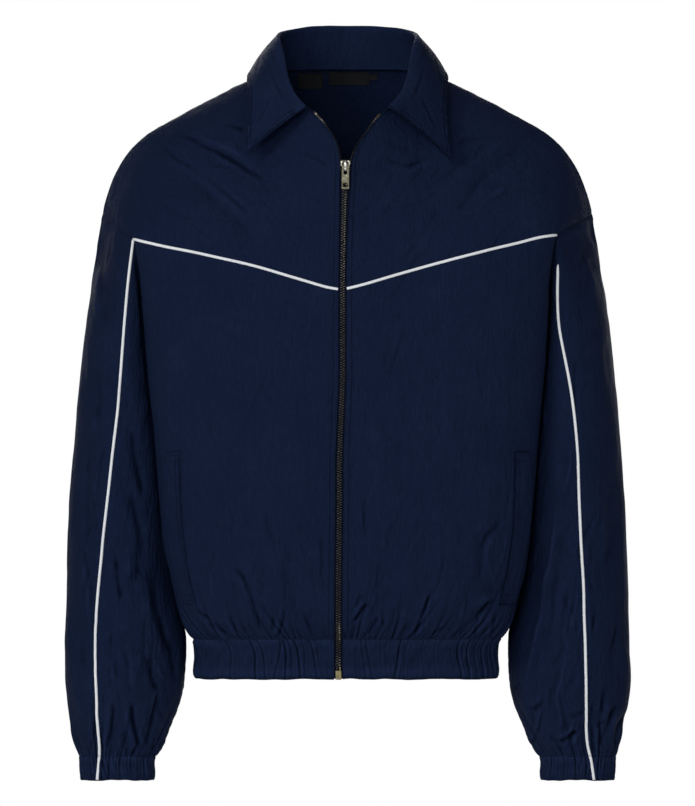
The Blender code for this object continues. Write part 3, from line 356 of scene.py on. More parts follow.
# the first rows are closer together, where the cloth turns in to the hem band
SIDE_DROPS = np.r_[
    HEM_SEAM - (HEM_SEAM - UNDERARM) * np.linspace(0, 1, SIDE_ROWS + 1) ** 1.35,
    np.linspace(UNDERARM, YOKE_SIDE, HOLE_ROWS + 1)[1:],
]
SLEEVE_DROPS = np.interp(np.linspace(0, 14, 29), np.arange(15), SLEEVE_LEVELS)
COL_U = np.linspace(0, 1, COLS + 1)


def half_girth(drop):
    """Half of the way round the body at a drop."""
    return section_end(drop) + section_end(drop, back=True)


HEM_GIRTH = 2 * half_girth(HEM_SEAM)


def lower_front(side):
    """Grid of a lower front, hem seam to yoke seam and zip to side, with its places round the hem."""
    grid = np.zeros((len(SIDE_DROPS), COLS + 1, 4))
    for j, u in enumerate(COL_U):
        seam = 190.0
        for _ in range(6):
            p = zip_edge(seam, side) + u * (section_end(seam) - zip_edge(seam, side))
            seam = float(spline(YOKE_SEAM, on_section(seam, p)[0])[side_index(side)])
        if j == COLS:
            seam = YOKE_SIDE
        for r, d in enumerate(SIDE_DROPS):
            f = (HEM_SEAM - d) / (HEM_SEAM - YOKE_SIDE)
            drop = HEM_SEAM - f * (HEM_SEAM - seam)
            p0 = zip_edge(drop, side)
            p = p0 + u * (section_end(drop) - p0)
            grid[r, j, :3] = on_section(drop, p)
            grid[r, j, 3] = p / half_girth(drop) * HEM_GIRTH / 2
    return grid * (side, 1, 1, side)


def shoulder_row():
    """The front's upper edge: half of the neckline's front, then the shoulder seam."""
    neck = along(NECKLINE[:5], NECK_COLS)
    return np.r_[neck, along(SHOULDER, SHOULDER_COLS)[1:]]


def hermite(a, b, ta, tb, v):
    """Rows between two rows of points, smooth, with a direction to leave the first and one to reach the second."""
    v = v[:, None, None]
    w = 1 - v
    return (1 + 2 * v) * w * w * a + v * w * w * ta + v * v * (3 - 2 * v) * b - v * v * w * tb


def eased(at, xs, ys):
    """Values on a smooth curve through a few points."""
    return spline(np.c_[xs, ys], at)[:, 0]


def over_shoulder(low, top, lean, lift, reach, rise):
    """A sheet from a level row up to the shoulder seam; its leanings at both ends go by the share of the width."""
    d = top - low
    third, sixths = (0, 0.33, 1), (0, 0.2, 0.33, 0.5, 0.8, 1)
    start = np.stack([d[:, 0], lean + 0.3 * d[:, 1] * COL_U ** 3, eased(COL_U, third, lift) * d[:, 2]], axis=1)
    end = np.stack([d[:, 0], eased(COL_U, third, reach) * d[:, 1], eased(COL_U, sixths, rise)], axis=1)
    return hermite(low, top, start, end, np.linspace(0, 1, TOP_ROWS + 1))


def yoke(side, seam_row):
    """Grid of a front yoke, from its seam over the chest to the shoulder seam."""
    low = seam_row * (side, 1, 1)
    top = shoulder_row()
    d = top - low
    v = np.linspace(0, 1, TOP_ROWS + 1)
    grid = over_shoulder(low, top, 0.15 * d[:, 2], (1.0, 1.2, 1.0), (1.0, 1.3, 1.35),
                         (d[0, 2], 100, 55, 34, 26, d[-1, 2]))
    drops = -low[0, 2] + (low[0, 2] - top[0, 2]) * v
    zip_x = spline(ZIP_EDGE, drops)[:, side_index(side)]
    want = np.stack([zip_x, spline(CHEST, drops)[:, 0], -drops], axis=1)
    want[0], want[-1] = low[0], top[0]
    grid += (want - grid[:, 0])[:, None] * ((1 - COL_U) ** 2.5)[None, :, None]
    return grid * (side, 1, 1)


def back():
    """Grid of the whole back, hem seam to shoulder seams, from the wearer's right to the left."""
    half = np.zeros((len(SIDE_DROPS), COLS + 1, 3))
    place = np.zeros((len(SIDE_DROPS) + TOP_ROWS, COLS + 1))
    for r, drop in enumerate(SIDE_DROPS):
        end = section_end(drop, back=True)
        place[r] = COL_U * end / half_girth(drop) * HEM_GIRTH / 2
        for j, u in enumerate(COL_U):
            half[r, j] = on_section(drop, u * end, back=True)
    top = np.r_[along(NECKLINE[4:], NECK_COLS)[::-1], along(SHOULDER, SHOULDER_COLS)[1:]]
    upper = over_shoulder(half[-1], top, np.interp(COL_U, (0, 1), (8, 0)), (1.15, 1.15, 1.0), (1.5, 1.35, 1.3),
                          (120, 60, 5, -25, -18, top[-1, 2] - half[-1, -1, 2]))
    half = np.r_[half, upper[1:]]
    grid = np.concatenate([half[:, ::-1] * (-1, 1, 1), half[:, 1:]], axis=1)
    place[len(SIDE_DROPS):] = place[len(SIDE_DROPS) - 1]
    place = np.concatenate([HEM_GIRTH / 2 + place[:, ::-1], HEM_GIRTH / 2 - place[:, 1:]], axis=1)
    return np.concatenate([grid, place[..., None]], axis=2)


def sleeve_ring(drop, side, counts):
    """A level ring of a sleeve, from under the arm by the front, the piping, the outside and the back."""
    out, inn, mid, deep, *stripe = spline(SLEEVE, drop)
    cx, a = (out + inn) / 2, (out - inn) / 2
    at = math.acos(np.clip((cx - stripe[side_index(side)]) / a, -0.95, 0.95))
    turns = np.r_[np.linspace(0, at, counts[0] + 1), np.linspace(at, 2 * math.pi, counts[1] + 1)[1:]]
    x, y = cx - a * np.cos(turns), mid - deep * np.sin(turns)
    return np.stack([x, y, np.full(len(turns), -drop)], axis=1)


def sleeve(side, loop):
    """Grid of a sleeve, armhole to cuff seam, round from under the arm."""
    counts = (HOLE_ROWS, len(loop) - 1 - HOLE_ROWS)
    loop = loop * (side, 1, 1)
    rings = [sleeve_ring(d, side, counts) for d in SLEEVE_DROPS]
    high = (loop[:, 2] - loop[:, 2].min()) / np.ptp(loop[:, 2])
    chord = np.linalg.norm(rings[0] - loop, axis=1)[:, None]
    start = unit(np.stack([0.04 + 0.12 * high, 0 * high, -np.ones(len(loop))], axis=1)) * chord
    end = unit(rings[1] - rings[0]) * chord
    rows = [loop]
    for v in np.linspace(0, 1, HEAD_ROWS + 2)[1:-1]:
        rows.append(hermite(loop, rings[0], start, end, np.array([v]))[0])
    rows += rings
    grid = np.array(rows)
    for r in range(1, len(grid)):
        for j in range(grid.shape[1]):
            x, y, z = grid[r, j]
            away = CLEAR * min(1.0, np.linalg.norm(grid[r, j] - grid[0, j]) / 7)
            if -z < HEM_SEAM:
                grid[r, j, 0] = max(x, body_half_width(-z, y) + away)
    return grid * (side, 1, 1)


# ---- normals and folds

def facing(grid, axis):
    """Cell normals of a grid, turned to point away from an axis."""
    n = np.cross(grid[1:, 1:] - grid[:-1, :-1], grid[:-1, 1:] - grid[1:, :-1])
    mid = (grid[1:, 1:] + grid[:-1, :-1]) / 2
    return n if np.sum(n * (mid - axis)) > 0 else -n


def shared_normals(grids, axes):
    """Normals at the points of several grids, averaged where grids share a point."""
    total = {}
    keys = {}
    for name, grid in grids.items():
        cells = facing(grid, axes[name])
        acc = np.zeros_like(grid)
        acc[:-1, :-1] += cells
        acc[1:, :-1] += cells
        acc[:-1, 1:] += cells
        acc[1:, 1:] += cells
        keys[name] = [[tuple(np.round(p, 3) + 0.0) for p in row] for row in grid]
        for row, sums in zip(keys[name], acc):
            for key, s in zip(row, sums):
                total[key] = total.get(key, 0) + s
    return {name: unit(np.array([[total[k] for k in row] for row in rows])) for name, rows in keys.items()}


def own_normals(grid, axis):
    """Normals of one grid by itself."""
    return shared_normals({"own": grid}, {"own": axis})["own"]


def fold_height(p):
    """How far the folds move a point of the cloth out."""
    x, y, z = p[..., 0], p[..., 1], p[..., 2]
    height = np.zeros(x.shape)
    for x0, d0, x1, d1, amount, width, face in FOLDS:
        a = np.array([x0, -d0])
        b = np.array([x1, -d1]) - a
        off = np.hypot(*to_line(x, z, a, b)[1:])
        height += amount * np.exp(-(off / width) ** 2) * smoothstep(face * y / 30)
    return height * smoothstep((HEM_SEAM + z) / 14 + (np.abs(x) > 180) * 9)


def finer(a, rows, cols):
    """The same smooth surface with more rows and columns."""
    for axis, count in ((0, rows), (1, cols)):
        a = np.moveaxis(a, axis, 0)
        flat = np.c_[np.arange(len(a)), a.reshape(len(a), -1)]
        fine = spline(flat, np.linspace(0, len(a) - 1, count + 1))
        a = np.moveaxis(fine.reshape(count + 1, *a.shape[1:]), 0, axis)
    return a


def to_line(u, v, a, run):
    """Share along a straight line of the place on it nearest to each point, and the way from there to the point."""
    f = np.clip(((u - a[0]) * run[0] + (v - a[1]) * run[1]) / (run @ run), 0, 1)
    return f, u - a[0] - f * run[0], v - a[1] - f * run[1]


def fold_form(off, width):
    """Section of a crease: a narrow line between soft shoulders, and a lip of the other sign on one hand."""
    line = 0.6 * np.exp(-(off / (0.6 * width)) ** 2) + 0.4 * np.exp(-(off / (1.35 * width)) ** 2)
    return line - 0.42 * np.exp(-((off - 2.2 * width) / (1.4 * width)) ** 2)


def crease(x, z, points, height, width):
    """A soft trough or ridge along a line seen from the front, with a lip of the other sign beside it."""
    path = smooth_path(points, max(3, int(arc_of(np.asarray(points, float))[-1] / 5)) + 1)
    arc = arc_of(path)
    out = np.zeros(x.shape)
    low, high = path.min(0) - 5 * width, path.max(0) + 5 * width
    near = (x > low[0]) & (x < high[0]) & (-z > low[1]) & (-z < high[1])
    px, pd = x[near], -z[near]
    best = np.full(px.shape, 1e9)
    t, hand = np.zeros(px.shape), np.zeros(px.shape)
    for k in range(len(path) - 1):
        a, b = path[k], path[k + 1] - path[k]
        f, dx, dd = to_line(px, pd, a, b)
        d = np.hypot(dx, dd)
        closer = d < best
        best = np.where(closer, d, best)
        t = np.where(closer, arc[k] + f * math.sqrt(b @ b), t)
        hand = np.where(closer, np.sign(b[0] * dd - b[1] * dx), hand)
    taper = smoothstep(t / (0.3 * arc[-1])) * smoothstep((arc[-1] - t) / (0.2 * arc[-1]))
    ends = np.exp(-(np.maximum(best - 4 * width, 0) / width) ** 2)
    out[near] = height * taper * ends * fold_form(best * np.where(hand == 0, 1, hand), width)
    return out


def strewn(part, seed, count, area, lean, lengths, widths, heights):
    """Small uneven creases over an area (x and drop from and to) that lean in toward the middle as they fall."""
    rng = np.random.default_rng(seed)
    x0, x1, d0, d1 = area
    rows = []
    for _ in range(count):
        x, drop = rng.uniform(x0, x1), rng.uniform(d0, d1)
        long = lengths[0] + (lengths[1] - lengths[0]) * rng.random() ** 2
        angle = math.radians(rng.normal(lean, 11)) * -math.copysign(1, x)
        bend = rng.normal(0, 0.07) * long
        run, side = np.array((math.sin(angle), math.cos(angle))), np.array((math.cos(angle), -math.sin(angle)))
        points = [np.array((x, drop)) + run * long * f + side * bend * math.sin(math.pi * f)
                  for f in (0, 0.35, 0.7, 1)]
        amount = rng.uniform(*heights) * (-1 if rng.random() < 0.7 else 0.8)
        rows.append((part, amount, rng.uniform(*widths), tuple(map(tuple, points))))
    return rows


# part, seed, number, area (x and drop, from and to), lean in degrees, lengths, half widths, heights
STREWN = (
    ("body", 61, 26, (-190, -12, 235, 430), 3, (40, 130), (1.5, 3.0), (0.2, 0.5)),
    ("body", 62, 28, (12, 190, 235, 430), 5, (40, 140), (1.5, 3.0), (0.2, 0.6)),
    ("body", 63, 34, (-178, -12, 430, 565), 15, (20, 85), (1.3, 2.4), (0.3, 0.9)),
    ("body", 64, 38, (12, 176, 420, 565), 13, (20, 90), (1.3, 2.4), (0.3, 1.0)),
    ("body", 65, 22, (-205, -40, 40, 190), 50, (30, 110), (1.4, 2.6), (0.2, 0.6)),
    ("body", 66, 24, (40, 205, 45, 190), 42, (30, 120), (1.4, 2.8), (0.2, 0.65)),
    ("body", 67, 8, (-120, 110, 60, 130), 25, (10, 30), (1.2, 2.0), (0.3, 0.6)),
    ("sleeve", 71, 20, (-292, -205, 240, 420), 2, (50, 160), (1.8, 3.4), (0.2, 0.55)),
    ("sleeve", 72, 20, (205, 292, 240, 420), 4, (50, 160), (1.8, 3.4), (0.2, 0.55)),
    ("sleeve", 77, 22, (-292, -200, 400, 570), 2, (40, 140), (1.5, 2.8), (0.3, 0.95)),
    ("sleeve", 78, 20, (200, 292, 400, 570), 4, (40, 140), (1.5, 2.8), (0.3, 0.95)),
    ("sleeve", 73, 32, (-290, -188, 560, 700), 8, (20, 75), (1.4, 2.4), (0.5, 1.4)),
    ("sleeve", 74, 32, (188, 290, 560, 700), 8, (20, 75), (1.4, 2.4), (0.5, 1.4)),
    ("sleeve", 75, 10, (-275, -245, 150, 230), 6, (25, 70), (1.4, 2.6), (0.25, 0.7)),
    ("sleeve", 76, 10, (245, 275, 150, 230), 6, (25, 70), (1.4, 2.6), (0.25, 0.7)),
)
ALL_CREASES = [(part, row[0], row[1], tuple(zip(row[2::2], row[3::2])))
               for part, rows in CREASES.items() for row in rows]
ALL_CREASES += [row for group in STREWN for row in strewn(*group)]


def creases(part, p):
    """All creases of the body or the sleeves; the back carries the front's, mirrored and a little lower."""
    x = p[..., 0] + 1.2 * ripple(p, 30, 91) + 0.3 * ripple(p, 9, 92)
    z = p[..., 2] + 1.2 * ripple(p, 30, 93) + 0.3 * ripple(p, 9, 94)
    front = smoothstep((20 - p[..., 1]) / 30)
    height = np.zeros(x.shape)
    for kind, amount, width, points in ALL_CREASES:
        if kind != part:
            continue
        if front.max() > 0:
            height += front * crease(x, z, points, amount, width)
        behind = [(7 - px, drop + 5) for px, drop in points]
        near_collar = part == "body" and max(drop for _, drop in points) < 110 and abs(points[0][0]) < 110
        if front.min() < 1 and not near_collar:
            height += (1 - front) * crease(x, z, behind, 0.85 * amount, 1.15 * width)
    return height * (0.9 + 0.35 * ripple(p, 26, 95))


def cavity(height, reach=3):
    """How far each place lies above the cloth round it; below zero in a narrow crease."""
    wide = np.pad(height, reach, mode="edge")
    rows, cols = height.shape
    steps = range(2 * reach + 1)
    return height - sum(wide[i:i + rows, j:j + cols] for i in steps for j in steps) / len(steps) ** 2


def gather_table(girth, pitch, depths, widths, lengths, lean, seed):
    """Uneven gathers round a seam: place, depth, half width, length and slant."""
    rng = np.random.default_rng(seed)
    table = []
    at = -girth / 2
    while at < girth / 2 - pitch / 2:
        slant = math.copysign(rng.uniform(0, lean), at)
        strong = rng.random() ** 2
        table.append((
            at, depths[0] + (depths[1] - depths[0]) * strong, rng.uniform(*widths),
            lengths[0] + (lengths[1] - lengths[0]) * strong * rng.uniform(0.6, 1), slant,
        ))
        at += pitch * rng.uniform(0.55, 1.5)
    return table


def gathers(s, up, girth, table):
    """Height of the gathers at places round a seam and distances from it."""
    height = np.zeros(s.shape)
    for at, depth, width, length, slant in table:
        low = up < 2.2 * length
        off = s[low] - at - slant * up[low]
        off = (off + girth / 2) % girth - girth / 2
        w = width * (1 + 0.6 * up[low] / length)
        height[low] += depth * fold_form(off, w) * np.exp(-(up[low] / length) ** 2)
    return height


def ripple(p, size, seed, stretch=(1.0, 1.0, 0.45), waves=22):
    """Smooth uneven ripples about as long as a size, from -1 to 1 or a little more."""
    rng = np.random.default_rng(seed)
    q = p * stretch
    total = np.zeros(p.shape[:-1])
    for _ in range(waves):
        k = rng.normal(size=3)
        k *= 2 * math.pi / (size * rng.uniform(0.6, 1.7)) / np.linalg.norm(k)
        total += np.sin(q @ k + rng.uniform(0, 2 * math.pi))
    return total / math.sqrt(waves / 2) / 1.6


def crinkle(p):
    """The fine crinkle of the nylon: long soft ripples and small sharp creases between them."""
    soft = 0.55 * ripple(p, 46, 3) + 0.3 * ripple(p, 21, 4)
    sharp = np.abs(ripple(p, 17, 5, (1, 1, 0.6))) ** 0.7
    patches = smoothstep(0.5 + ripple(p, 90, 6, (1, 1, 1)))
    return soft - 0.35 * patches * (0.75 - sharp)


def edge_distances(p):
    """Distance along the cloth from each point to the grid's four edges."""
    over = np.linalg.norm(np.diff(p, axis=1), axis=2)
    up = np.linalg.norm(np.diff(p, axis=0), axis=2)
    c = np.pad(np.cumsum(over, axis=1), ((0, 0), (1, 0)))
    r = np.pad(np.cumsum(up, axis=0), ((1, 0), (0, 0)))
    return {"c": c, "C": c[:, -1:] - c, "r": r, "R": r[-1:] - r}


# ---- fine surfaces of the panels

def hole_row(of, side, who):
    """The armhole's row of points or normals, from under the arm up the front, over and down the back."""
    front, top, rear = of["front_" + who], of["yoke_" + who], of["back"]
    rear = rear[:, 0] if side < 0 else rear[:, -1]
    return np.r_[front[SIDE_ROWS:, -1], top[1:, -1], rear[::-1][1:TOP_ROWS + HOLE_ROWS + 1]]


places, grids, axes = {}, {}, {}
for side, who in SIDES:
    full = lower_front(side)
    grids["front_" + who], places["front_" + who] = full[..., :3], full[..., 3]
    grids["yoke_" + who] = yoke(side, grids["front_" + who][-1])
    axes["front_" + who] = np.array([0.0, 0.0, -380.0])
    axes["yoke_" + who] = np.array([0.0, 0.0, -250.0])
full = back()
grids["back"], places["back"] = full[..., :3], full[..., 3]
axes["back"] = np.array([0.0, 0.0, -380.0])
for side, who in SIDES:
    grids["sleeve_" + who] = sleeve(side, hole_row(grids, side, who))
    axes["sleeve_" + who] = np.array([side * 240.0, 8.0, -450.0])


def as_hung(p):
    """The wearer's left armhole and piping lie further in than the right ones, and the right yoke corner lower."""
    x, drop = p[..., 0], -p[..., 2]
    front = smoothstep((25 - p[..., 1]) / 40)
    outside = np.interp(drop, (100, 137, 272, 540, 718), (250, 263.5, 283, 301, 288))
    inward = smoothstep((x - 130) / 70) * smoothstep((outside - x) / 30) * front
    inward *= (2.6 * smoothstep((720 - drop) / 80) * smoothstep((drop - 110) / 60)
               + 3.2 * np.exp(-((drop - 185) / 75) ** 2))
    lower = 4.4 * front * np.exp(-((x + 224) / 40) ** 2 - ((drop - 163) / 35) ** 2)
    return p - np.stack([inward, 0 * x, lower], axis=-1)


grids = {name: as_hung(grid) for name, grid in grids.items()}
base_normals = shared_normals(grids, axes)
for name in grids:
    grids[name] = grids[name] + base_normals[name] * fold_height(grids[name])[..., None]
    if "sleeve" in name:
        grids[name][:, -1] = grids[name][:, 0]
normals = shared_normals(grids, axes)

# under the arm the two walls turn back on each other, so they meet in a mitre
own = {name: own_normals(grids[name], axes[name]) for name in grids}
for side, who in SIDES:
    body, arm = hole_row(own, side, who), own["sleeve_" + who][0]
    turn = (1 - np.sum(body * arm, axis=1, keepdims=True)) / 2
    mitre = unit(body + arm + turn * np.array([0.0, 0.0, -0.8]))
    normals["sleeve_" + who][0] = mitre
    normals["front_" + who][SIDE_ROWS:, -1] = mitre[:HOLE_ROWS + 1]
    normals["yoke_" + who][:, -1] = mitre[HOLE_ROWS:HOLE_ROWS + TOP_ROWS + 1]
    normals["back"][SIDE_ROWS:, 0 if side < 0 else -1] = mitre[HOLE_ROWS + TOP_ROWS:][::-1]

CUFF_GIRTH = 236.0
HEM_GATHERS = gather_table(HEM_GIRTH, 5.6, (-0.7, -3.2), (1.2, 1.9), (8, 50), 0.5, 11)
CUFF_GATHERS = gather_table(CUFF_GIRTH, 5.0, (-0.7, -3.4), (1.2, 2.0), (10, 62), 0.15, 12)


def seam_dips(p, edges, depth=0.55, reach=1.7):
    """The cloth turns in at its seams and puckers beside them."""
    d = edge_distances(p)
    height = np.zeros(p.shape[:2])
    for e in edges:
        pucker = ripple(p, 9, 8, (1, 1, 1), 12) * np.exp(-(d[e] / 7) ** 2) * (1 - np.exp(-(d[e] / 2) ** 2))
        height += 0.3 * pucker - depth * np.exp(-(d[e] / reach) ** 2)
    return height


def body_relief(name, p, s):
    """Height of a body panel's cloth over its grid, and how far each place stands out of a crease, which the cloth's
    colour turns into painted shade and painted highlight.
    """
    d = edge_distances(p)
    height = 0.5 * crinkle(p)
    keep = np.ones(p.shape[:2])
    for e in "cC" if name == "back" else "C":
        keep = keep * smoothstep(d[e] / 9)
    shape = creases("body", p) * keep
    if s is not None:
        up = HEM_SEAM + p[..., 2]
        shape += gathers(s, up, HEM_GIRTH, HEM_GATHERS) * smoothstep(up / 3 + 0.45)
    height += shape + seam_dips(p, {"front": "RC", "yoke": "rRC", "back": "RcC"}[name.split("_")[0]])
    if name != "back":
        # the front's edge is folded under beside the zip, up to the topstitching
        height += 0.55 * smoothstep((8.0 - d["c"]) / 2.5) - 0.6 * np.exp(-(d["c"] / 1.0) ** 2)
        sewn = 0.35 * np.exp(-((d["c"] - STITCH_IN) / 0.8) ** 2)
        height -= sewn
        # the second value is painted shade: darker in narrow creases and along the topstitching's groove, lighter on
        # ridges
        return height, 0.65 * cavity(shape) - 0.6 * sewn
    return height, 0.65 * cavity(shape)


def sleeve_relief(p, s):
    """The same for a sleeve."""
    d = edge_distances(p)
    height = 0.6 * crinkle(p)
    up = CUFF_SEAM + p[..., 2]
    shape = creases("sleeve", p) * smoothstep(d["r"] / 12)
    shape += gathers(s, up, CUFF_GIRTH, CUFF_GATHERS) * smoothstep(up / 3 + 0.45)
    # on the wearer's left the cloth folds in behind the armhole seam
    tucked = smoothstep((p[..., 0] - 100) / 50) * smoothstep((10 - p[..., 1]) / 30)
    tucked = tucked * smoothstep((-p[..., 2] - 96) / 40) * smoothstep((250 + p[..., 2]) / 50)
    shape -= 2.0 * tucked * np.exp(-((d["r"] - 1.5) / 2.6) ** 2)
    # the second value is painted shade in narrow creases and painted highlight on their ridges
    return height + shape, 0.65 * cavity(shape)


FINE = {"front": (170, 280), "yoke": (100, 210), "back": (150, 320)}
panels = {}
for name in ("front_right", "front_left", "yoke_right", "yoke_left", "back"):
    rows, cols = FINE[name.split("_")[0]]
    p = finer(grids[name], rows, cols)
    n = unit(finer(normals[name], rows, cols))
    s = finer(places[name][..., None], rows, cols)[..., 0] if name in places else None
    height, shape = body_relief(name, p, s)
    panels[name] = {"base": p, "n": n, "outer": p + n * height[..., None], "shape": shape}

SLEEVE_FINE = {"front": (180, 96), "back": (180, 200)}
for side, who in SIDES:
    g, n0 = grids["sleeve_" + who], normals["sleeve_" + who]
    arc = edge_distances(g)["c"]
    s0 = (arc / arc[:, -1:] - 0.5) * CUFF_GIRTH
    for half, cut in (("front", slice(0, HOLE_ROWS + 1)), ("back", slice(HOLE_ROWS, None))):
        rows, cols = SLEEVE_FINE[half]
        p = finer(g[:, cut], rows, cols)
        n = unit(finer(n0[:, cut], rows, cols))
        height, shape = sleeve_relief(p, finer(s0[:, cut, None], rows, cols)[..., 0])
        height = height + seam_dips(p, "rcC")
        panels[f"sleeve_{who}_{half}"] = {"base": p, "n": n, "outer": p + n * height[..., None], "shape": shape}


# ---- meshes

def make(name, verts, faces, material, body=BODY, uv=None, shape=None):
    """A smooth-shaded piece that rides on a body."""
    mesh = bpy.data.meshes.new(name)
    mesh.from_pydata((np.asarray(verts, float) / 1000).tolist(), [], [list(f) for f in faces])
    mesh.materials.append(material)
    mesh.shade_smooth()
    if uv is not None:
        loops = np.zeros(len(mesh.loops), np.int32)
        mesh.loops.foreach_get("vertex_index", loops)
        layer = mesh.uv_layers.new(name="cloth")
        layer.data.foreach_set("uv", (np.asarray(uv, float)[loops] / 1000).astype(np.float32).ravel())
    # the crease attribute carries the painted shade and painted highlight that the cloth's colour takes from it
    if shape is not None:
        mesh.attributes.new("crease", "FLOAT", "POINT").data.foreach_set("value", np.asarray(shape, np.float32))
    ob = bpy.data.objects.new(name, mesh)
    bpy.context.scene.collection.objects.link(ob)
    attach(ob, body)
    return ob


def grid_quads(rows, cols, wrap):
    """Faces of a grid of points, its last column joined to the first where it wraps."""
    last = cols if wrap else cols - 1
    r, c = np.meshgrid(np.arange(rows - 1), np.arange(last), indexing="ij")
    a, b = r * cols + c, r * cols + (c + 1) % cols
    return np.stack([a, b, b + cols, a + cols], axis=-1).reshape(-1, 4)


def tube_faces(rows, cols):
    """Faces round a tube, with its two ends closed."""
    last = (rows - 1) * cols
    return grid_quads(rows, cols, True).tolist() + [list(range(cols))[::-1], list(range(last, last + cols))]


def shell_faces(rows, cols, at_rows, at_cols, wrap):
    """Faces of a closed shell: a fine outer grid, a coarser inner one, and the strips that join their edges."""
    n, m = rows * cols, len(at_cols)
    faces = grid_quads(rows, cols, wrap).tolist()
    faces += (grid_quads(len(at_rows), m, wrap)[:, ::-1] + n).tolist()
    for r, row, turn in ((0, 0, -1), (rows - 1, len(at_rows) - 1, 1)):
        for k in range(m if wrap else m - 1):
            end = at_cols[k + 1] if k + 1 < m else cols
            strip = [r * cols + c % cols for c in range(at_cols[k], end + 1)]
            faces.append((strip + [n + row * m + (k + 1) % m, n + row * m + k])[::-turn])
    if not wrap:
        for c, col, turn in ((0, 0, 1), (cols - 1, m - 1, -1)):
            for k in range(len(at_rows) - 1):
                strip = [r * cols + c for r in range(at_rows[k], at_rows[k + 1] + 1)]
                faces.append((strip + [n + (k + 1) * m + col, n + k * m + col])[::-turn])
    return faces


def every(count, step):
    """Indices at a step, and the last one."""
    return sorted(set(range(0, count, step)) | {count - 1})


def shell(name, outer, inner, material, shape=None, round_cols=False, step=1):
    """A thin closed sheet between two grids, with the cloth's own lengths as its UV."""
    rows, cols = outer.shape[:2]
    at_rows = every(rows, step)
    at_cols = list(range(0, cols, step)) if round_cols else every(cols, step)
    faces = shell_faces(rows, cols, at_rows, at_cols, round_cols)
    pick = np.ix_(at_rows, at_cols)
    verts = np.concatenate([outer.reshape(-1, 3), inner[pick].reshape(-1, 3)])
    last = cols if round_cols else cols - 1
    tri = verts[np.array(faces[:(rows - 1) * last])[:, :3]]
    facing = np.cross(tri[:, 1] - tri[:, 0], tri[:, 2] - tri[:, 0])
    if np.sum(facing * (outer - inner)[:-1, :last].reshape(-1, 3)) < 0:
        faces = [face[::-1] for face in faces]
    d = edge_distances(outer)
    uv = np.stack([d["c"], d["r"]], axis=-1)
    if shape is not None:
        shape = np.r_[shape.ravel(), shape[pick].ravel()]
    uv = np.r_[uv.reshape(-1, 2), uv[pick].reshape(-1, 2)]
    return make(name, verts, faces, material, uv=uv, shape=shape)


def lining(outer, n, thick, step):
    """The hidden face of a sheet, low enough that its coarser grid stays under the outer one."""
    reach = step - 1
    level = np.sum(outer * n, axis=-1)
    wide = np.pad(outer, ((reach, reach), (reach, reach), (0, 0)), mode="edge")
    low = level.copy()
    rows, cols = level.shape
    for i in range(2 * reach + 1):
        for j in range(2 * reach + 1):
            beside = np.sum((wide[i:i + rows, j:j + cols] - outer) * n, axis=-1)
            flat = np.linalg.norm(wide[i:i + rows, j:j + cols] - outer, axis=-1)
            low = np.minimum(low, level + np.where(np.abs(beside) < 0.9 * flat, beside, 0) * 0.8)
    return outer - n * (level - low + thick)[..., None]


def sample(a, r, c):
    """Values of a grid between its rows and columns."""
    r = np.clip(r, 0, a.shape[0] - 1.001)
    c = np.clip(c, 0, a.shape[1] - 1.001)
    r0, c0 = r.astype(int), c.astype(int)
    u, v = (r - r0)[..., None], (c - c0)[..., None]
    low = a[r0, c0] * (1 - v) + a[r0, c0 + 1] * v
    high = a[r0 + 1, c0] * (1 - v) + a[r0 + 1, c0 + 1] * v
    return low * (1 - u) + high * u


def find(panel, x, drop):
    """Rows and columns at which a panel passes places seen from the front."""
    p = panel["base"]
    sign = np.sign(p[0, -1, 0] - p[0, 0, 0])
    r, c = np.full(len(x), p.shape[0] / 2.0), np.full(len(x), p.shape[1] / 2.0)
    for _ in range(6):
        for k in range(len(x)):
            down = p[:, int(round(c[k])), 2]
            r[k] = np.interp(-drop[k], down, np.arange(len(down)))
            row = p[int(round(r[k])), :, 0] * sign
            grow = int(np.argmax(row)) + 1
            c[k] = np.interp(x[k] * sign, row[:grow], np.arange(grow))
    return r, c


def strip(name, path, up, width, height, material, slot, sink=0.3, sides=9):
    """A low rounded cord that lies on the cloth along a path."""
    run = unit(np.gradient(path, axis=0))
    across = unit(np.cross(up, run))
    turn = np.linspace(0, math.pi, sides)
    ring = [path + across * (-math.cos(t) * width / 2) + up * (math.sin(t) ** 0.8 * height - sink) for t in turn]
    ring.append(path + up * (-sink - 0.4))
    g = np.stack(ring, axis=1)
    rows, cols = g.shape[:2]
    arc = arc_of(path)
    uv = np.stack([np.repeat(arc[:, None], cols, 1), np.repeat(np.arange(cols)[None] * 0.6, rows, 0)], axis=-1)
    return make(name, g.reshape(-1, 3), tube_faces(rows, cols), material, uv=uv.reshape(-1, 2))


def stitches(name, lines, length=2.2, pitch=3.1, width=0.5, height=0.2):
    """Rows of sewn stitches: each line is points on the cloth and the normals there."""
    verts, faces = [], []
    ring = ((-0.5, 0.0), (0.0, 1.0), (0.5, 0.0), (0.0, -1.0))
    quads = [[k, (k + 1) % 4, 4 + (k + 1) % 4, 4 + k] for k in range(4)]
    for path, up in lines:
        arc = arc_of(path)
        for start in np.arange(0.5, arc[-1] - length, pitch):
            base = len(verts)
            for k, (f, lift) in enumerate(((0, -0.15), (0.28, 1), (0.72, 1), (1, -0.15))):
                s = start + f * length
                p, n = at_places(s, arc, path, up)
                side = unit(np.cross(n, at_places(s + 0.5, arc, path)[0] - p + 1e-9))
                for w, h in ring:
                    verts.append(p + side * w * width + n * (h * 0.22 + lift * height))
                if k:
                    faces += [[base + (k - 1) * 4 + i for i in quad] for quad in quads]
            faces.append([base + 3, base + 2, base + 1, base])
            faces.append([base + 12, base + 13, base + 14, base + 15])
    return make(name, verts, faces, THREAD)


# ---- materials

